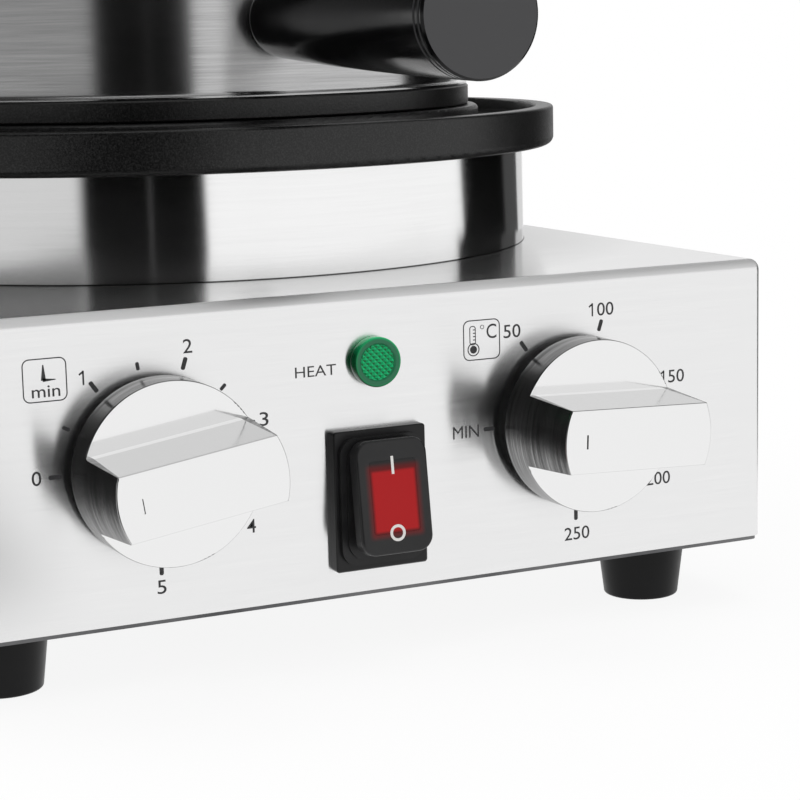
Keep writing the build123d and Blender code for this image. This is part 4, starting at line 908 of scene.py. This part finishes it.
bpy.ops.mesh.select_all(action="SELECT")
bpy.ops.mesh.extrude_region_move(TRANSFORM_OT_translate={"value": (0.0, 0.0, lamp_stands)})
bpy.ops.mesh.inset(thickness=lamp_rim)
bpy.ops.mesh.inset(thickness=lamp_step)
bpy.ops.transform.translate(value=(0.0, 0.0, -lamp_sunk))
pick_faces(lambda face: face.calc_center_median().z < 1e-5 and abs(face.normal.z) > 0.9)
bpy.ops.mesh.inset(thickness=lamp_tail_inset)
bpy.ops.mesh.extrude_region_move(TRANSFORM_OT_translate={"value": (0.0, 0.0, -lamp_tail_length)})
bpy.ops.mesh.select_all(action="SELECT")
bpy.ops.mesh.normals_make_consistent(inside=False)
bpy.ops.object.mode_set(mode="OBJECT")
add_bevel(lamp_round, 4)
rim = bpy.context.object
join_all([rim, facets])
stand_on_panel(0.0, lamp_z)
material, tree, surface = new_material("green_lens")
coordinates = add_node(tree, "ShaderNodeTexCoord").outputs
skin = use_group(tree, moulded_skin, Vector=coordinates["Object"], Size=1200.0)
# Painted light: the green of the facets and rim follows which way each faces. It is lighter towards
# the top and right as painted highlight, and darker towards the bottom and left as painted shade.
facing = add_split(tree, coordinates["Normal"])
painted_upward = add_sum(tree, "MULTIPLY", facing["Z"], light_from_above)
painted_light_tilt = add_sum(tree, "ADD", painted_upward, add_sum(tree, "MULTIPLY", facing["X"], light_from_right))
radius = add_radius(tree, coordinates["Object"], Vector((0.0, 0.0, lamp_z)), across_y)
dark, light = (0.001, 0.13, 0.035), (0.03, 0.64, 0.25)
painted_field_green = add_colours(tree, add_range(tree, painted_light_tilt, *painted_field_turn), dark, light)
dark, light = (0.0005, 0.06, 0.018), (0.015, 0.54, 0.19)
edge = add_colours(tree, add_range(tree, painted_light_tilt, *painted_edge_turn), dark, light)
rim_green = add_colours(tree, add_range(tree, radius, *lens_side_edge), (0.022, 0.16, 0.075), edge)
green = add_colours(tree, add_range(tree, radius, *lens_rim_edge), painted_field_green, rim_green)
tree.links.new(green, surface["Base Color"])
tree.links.new(add_mix(tree, skin["Cloud"], *lens_rough), surface["Roughness"])
surface["Specular IOR Level"].default_value = 0.3
finish_piece("pilot_lens", material, "base", ("lamp_lens",), smooth=20.0)
give(material, "lamp_lens")
give(control_plastic, "lamp_body")
give(fastener_steel, "lamp_clip")


# Rocker switch
# A black frame clamps a rubber boot on the panel. The rocker under it has a red window, lit from
# inside, with its red glow painted as colour into the rubber round it, and a white I and O moulded
# in.
rocker_tilt = math.radians(-8.0)
rocker_pivot = Vector((0.0, panel_y + 0.003, sum(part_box("switch_bezel"), Vector()).z / 2))
rocker_front = 0.0116
rocker_up = Vector((0.0, -math.sin(rocker_tilt), math.cos(rocker_tilt)))
window_low = 0.00105
window_half, window_soft, window_red = (0.0061, 0.0079), 0.0005, (0.42, 0.005, 0.007)
painted_glow_half, painted_glow_soft, painted_glow_red = (0.0073, 0.0093), 0.001, (0.12, 0.003, 0.004)
mark_line = 0.00075


def add_window(tree, half, soft):
    """1 inside the rocker's window and 0 outside, across a soft edge."""
    place = add_place(tree)
    off = add_vector_sum(tree, "SUBTRACT", place, rocker_pivot - rocker_up * window_low)
    up = add_vector_sum(tree, "DOT_PRODUCT", off, rocker_up, result="Value")
    shares = []
    for distance, reach in zip((add_split(tree, off)["X"], up), half):
        far = add_sum(tree, "ABSOLUTE", distance)
        shares.append(add_range(tree, far, reach - soft, reach + soft, 1.0, 0.0, "SMOOTHSTEP"))
    return add_sum(tree, "MULTIPLY", *shares)


dark, light = (0.004, 0.004, 0.0044), (0.007, 0.007, 0.0075)
give(new_moulded("bezel_plastic", dark, light, smooth=0.26, rough=0.34, shine=0.35), "switch_bezel")
dark, light = (0.008, 0.008, 0.0085), (0.014, 0.014, 0.0145)
boot_rubber = new_moulded("boot_rubber", dark, light, smooth=0.3, rough=0.4, shine=0.35)
give(boot_rubber, "switch_boot_skirt")
dark, light = (0.011, 0.011, 0.0115), (0.018, 0.018, 0.0185)
for name, node, shine in (("cap_rubber", "rocker_cap", 0.35), ("red_lens", "rocker_lens", 0.25)):
    material = new_moulded(name, dark, light, smooth=0.28, rough=0.38, shine=shine)
    tree, surface = material.node_tree, material.node_tree.nodes["Principled BSDF"].inputs
    colour = surface["Base Color"].links[0].from_socket
    # Painted glow: a dim red round the window, painted into the rubber's colour.
    colour = add_colours(tree, add_window(tree, painted_glow_half, painted_glow_soft), colour, painted_glow_red)
    colour = add_colours(tree, add_window(tree, window_half, window_soft), colour, window_red)
    tree.links.new(colour, surface["Base Color"])
    give(material, node)
marks = join_all([
    print_bar(mark_line, 0.0047, 0.00012, 0.0, rocker_pivot.z + 0.0082),
    print_disc(0.0022, 0.0, rocker_pivot.z - 0.0095, line=mark_line),
])
turn = Matrix.Translation(rocker_pivot) @ Matrix.Rotation(rocker_tilt, 4, "X")
marks.matrix_world = turn @ Matrix.Translation(Vector((0.0, -rocker_front, 0.0)) - rocker_pivot)
mark_white = new_moulded("mark_white", (0.72, 0.7, 0.68), (0.8, 0.78, 0.76), smooth=0.3, rough=0.4)
finish_piece("rocker_marks", mark_white, "rocker_body")
give(control_plastic, "switch_body")


# Wiring, gland and grommets
# A ceramic terminal block, the earth screw, sleeved wires, and the plastic gland where the lead
# comes in at the rear. Two rubber grommets guard the holes for the lid's own lead.
dark, light = (0.72, 0.7, 0.66), (0.8, 0.79, 0.75)
ceramic_white = new_moulded("ceramic_white", dark, light, smooth=0.25, rough=0.4, grain=1500.0)
give(ceramic_white, "terminal_block")
give(fastener_steel, "earth_terminal")
dark, light = (0.5, 0.48, 0.42), (0.62, 0.6, 0.54)
give(new_moulded("wire_sleeve", dark, light, smooth=0.5, rough=0.7), "internal_wires")
dark, light = (0.014, 0.014, 0.015), (0.026, 0.026, 0.027)
gland_plastic = new_moulded("gland_plastic", dark, light, smooth=0.34, rough=0.46)
give(gland_plastic, "cable_gland", "gland_nut")
give(foot_rubber, "base_lead_grommet", "lid_lead_grommet")


# Hinge
# A bracket folded from stainless sheet and screwed on the box, a steel pin held by two clips, and
# the arm that turns on the pin and is screwed to the lid.
material, tree, surface = new_material("hinge_steel")
split = add_split(tree, add_place(tree))
across = add_sum(tree, "ADD", split["X"], add_sum(tree, "MULTIPLY", split["Y"], 0.3))
laid = add_vector(tree, split["Z"], split["Y"], across)
lines = use_group(tree, brushed_lines, Vector=laid, Along=80.0, Across=3000.0)["Lines"]
dark, light = (0.66, 0.66, 0.665), (0.78, 0.78, 0.78)
brush_metal(tree, surface, lines, dark, light, smooth=0.26, rough=0.36, depth=0.000003)
give(material, "hinge_bracket", "lid_hinge_arm", "lid_bridge")
give(fastener_steel, "hinge_bracket_screws", "hinge_bracket_nuts", "hinge_pin", "hinge_pin_clips")
give(fastener_steel, "lid_hinge_screws")


# Upper plate, its element and what backs it
# Cast iron like the lower plate, pulled up to the strap in the lid by its studs. Its element, ring,
# shield and mineral wool lie over it, in the same order as below.
give(plate_iron, "upper_plate")
give(fastener_steel, "upper_plate_studs", "upper_plate_nuts")
give(element_sheath, "upper_heating_element")
give(clamp_steel, "upper_element_clamp")
give(shield_aluminium, "lid_heat_shield")
give(mineral_wool, "lid_insulation")


# Lid
# A deep-drawn stainless cap with a small flange at its mouth, brushed round. It is turned here from
# the outline of its sheet, so that its rounded edges take the light smoothly.
lid_flange = 0.0025
lid_sheet = 0.0008
lid_edge = 0.008
flange_sheet = 0.0006
foot_round = 0.0009
flange_round = 0.00025
holding = 0.0006


def arc(across, height, radius, start, end, steps):
    """Points on an arc round a place in an outline, from one angle to another in degrees."""
    angles = [math.radians(start + (end - start) * step / steps) for step in range(steps + 1)]
    turned = [(math.cos(angle), math.sin(angle)) for angle in angles]
    return [(across + radius * x, height + radius * y) for x, y in turned]


def turn_outline(outline, middle, along, steps):
    """Turns an outline of radius and height round an axis through a place."""
    deselect_all()
    bpy.ops.mesh.primitive_plane_add(size=0.001, location=middle)
    bpy.ops.object.transform_apply(location=True)
    bpy.ops.object.mode_set(mode="EDIT")
    bpy.ops.mesh.select_mode(type="VERT")
    bpy.ops.mesh.select_all(action="SELECT")
    bpy.ops.mesh.merge(type="CENTER")
    sideways = Vector((1.0, 0.0, 0.0))
    places = [sideways * radius + along * height for radius, height in outline]
    bpy.ops.transform.translate(value=places[0])
    for here, following in zip(places, places[1:]):
        bpy.ops.mesh.extrude_region_move(TRANSFORM_OT_translate={"value": following - here})
    bpy.ops.mesh.select_all(action="SELECT")
    bpy.ops.mesh.spin(steps=steps, angle=math.tau, center=middle, axis=along)
    bpy.ops.mesh.select_all(action="SELECT")
    bpy.ops.mesh.remove_doubles(threshold=merge_within)
    bpy.ops.mesh.normals_make_consistent(inside=False)
    bpy.ops.object.mode_set(mode="OBJECT")


lid_low, lid_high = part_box("lid_shell")
lid_top = lid_high.z - lid_low.z
lid_wall = lid_high.x - lid_flange
lid_outline = [(0.0, lid_top), (lid_wall - lid_edge - holding, lid_top)]
lid_outline += arc(lid_wall - lid_edge, lid_top - lid_edge, lid_edge, 90, 0, 12)
lid_outline += [(lid_wall, lid_top - lid_edge - holding)]
lid_outline += [(lid_wall, flange_sheet + foot_round + holding)]
lid_outline += arc(lid_wall + foot_round, flange_sheet + foot_round, foot_round, 180, 270, 8)
lid_outline += arc(lid_high.x - flange_round, flange_sheet - flange_round, flange_round, 90, 0, 4)
lid_outline += [(lid_high.x, 0.0), (lid_wall - lid_sheet, 0.0)]
lid_outline += arc(lid_wall - lid_edge, lid_top - lid_edge, lid_edge - lid_sheet, 0, 90, 12)
lid_outline += [(0.0, lid_top - lid_sheet)]
lid_foot = Vector((0.0, drum_middle.y, lid_low.z))
turn_outline(lid_outline, lid_foot, Vector((0.0, 0.0, 1.0)), steps=160)
material, tree, surface = new_material("lid_steel")
lines = add_round_lines(tree, "Z", drum_middle, along=40.0, across=2200.0)
dark, light = (0.46, 0.46, 0.462), (0.59, 0.59, 0.59)
gloss = {"smooth": 0.22, "rough": 0.27, "depth": 0.0000006, "stretch": 0.9}
brush_metal(tree, surface, lines, dark, light, **gloss)
surface["Anisotropic Rotation"].default_value = 0.25
give(material, "lid_shell")
finish_piece("lid_cap", material, "lid", ("lid_shell",))


# Handle
# A bulging cone of glossy black resin on a bolt. Two narrow grooves run round it near its end,
# which is left matt from the mould.
grip_root = 0.0108
grip_middle = 0.0136
grip_end = 0.0153
grip_round = 0.005
grip_chamfer = 0.0006
groove_wide = 0.0012
groove_deep = 0.00045
groove_ends = (0.0025, 0.0049)
matt_facing = (0.9, 0.97)
matt_rough = 0.55
side_rough = (0.12, 0.18)
grip_low, grip_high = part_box("handle_grip")
grip_middle_place = (grip_low + grip_high) / 2
grip_end_place = Vector((grip_middle_place.x, grip_low.y, grip_middle_place.z))
grip_long = grip_high.y - grip_low.y


def grip_radius(height):
    """The grip's radius at a distance from its end."""
    share = (grip_long - grip_round - height) / (grip_long - grip_round - grip_chamfer)
    bulge = 4 * (grip_middle - (grip_root + grip_end) / 2)
    return grip_root + (grip_end - grip_root) * share + bulge * share * (1 - share)


grip_outline = [(0.0, 0.0), (grip_end - grip_chamfer, 0.0), (grip_end, grip_chamfer)]
for end in groove_ends:
    start = end - groove_wide
    grip_outline += [(grip_radius(start), start), (grip_radius(start) - groove_deep, start)]
    grip_outline += [(grip_radius(end) - groove_deep, end), (grip_radius(end), end)]
side_start, side_end = groove_ends[-1], grip_long - grip_round
side_steps = 24
for step in range(1, side_steps + 1):
    height = side_start + (side_end - side_start) * step / side_steps
    grip_outline.append((grip_radius(height), height))
grip_outline += arc(grip_root - grip_round, side_end, grip_round, 0, 90, 8)[1:]
grip_outline.append((0.0, grip_long))
turn_outline(grip_outline, grip_end_place, Vector((0.0, 1.0, 0.0)), steps=96)
material, tree, surface = new_material("handle_black")
coordinates = add_node(tree, "ShaderNodeTexCoord").outputs
skin = use_group(tree, moulded_skin, Vector=coordinates["Object"], Size=500.0)
end_on = add_sum(tree, "MULTIPLY", add_split(tree, coordinates["Normal"])["Y"], -1.0)
on_end = add_range(tree, end_on, *matt_facing, steps="SMOOTHSTEP")
resin = add_colours(tree, on_end, (0.002, 0.002, 0.0022), (0.062, 0.062, 0.064))
tree.links.new(resin, surface["Base Color"])
surface["Specular IOR Level"].default_value = 0.28
rough = add_mix(tree, skin["Cloud"], *side_rough)
tree.links.new(add_mix(tree, on_end, rough, matt_rough), surface["Roughness"])
add_bump(tree, surface, skin["Grain"], depth=0.000006)
give(material, "handle_grip")
give(fastener_steel, "handle_bolt", "handle_nut", "handle_spacer")
finish_piece("handle_cone", material, "lid", ("handle_grip",))
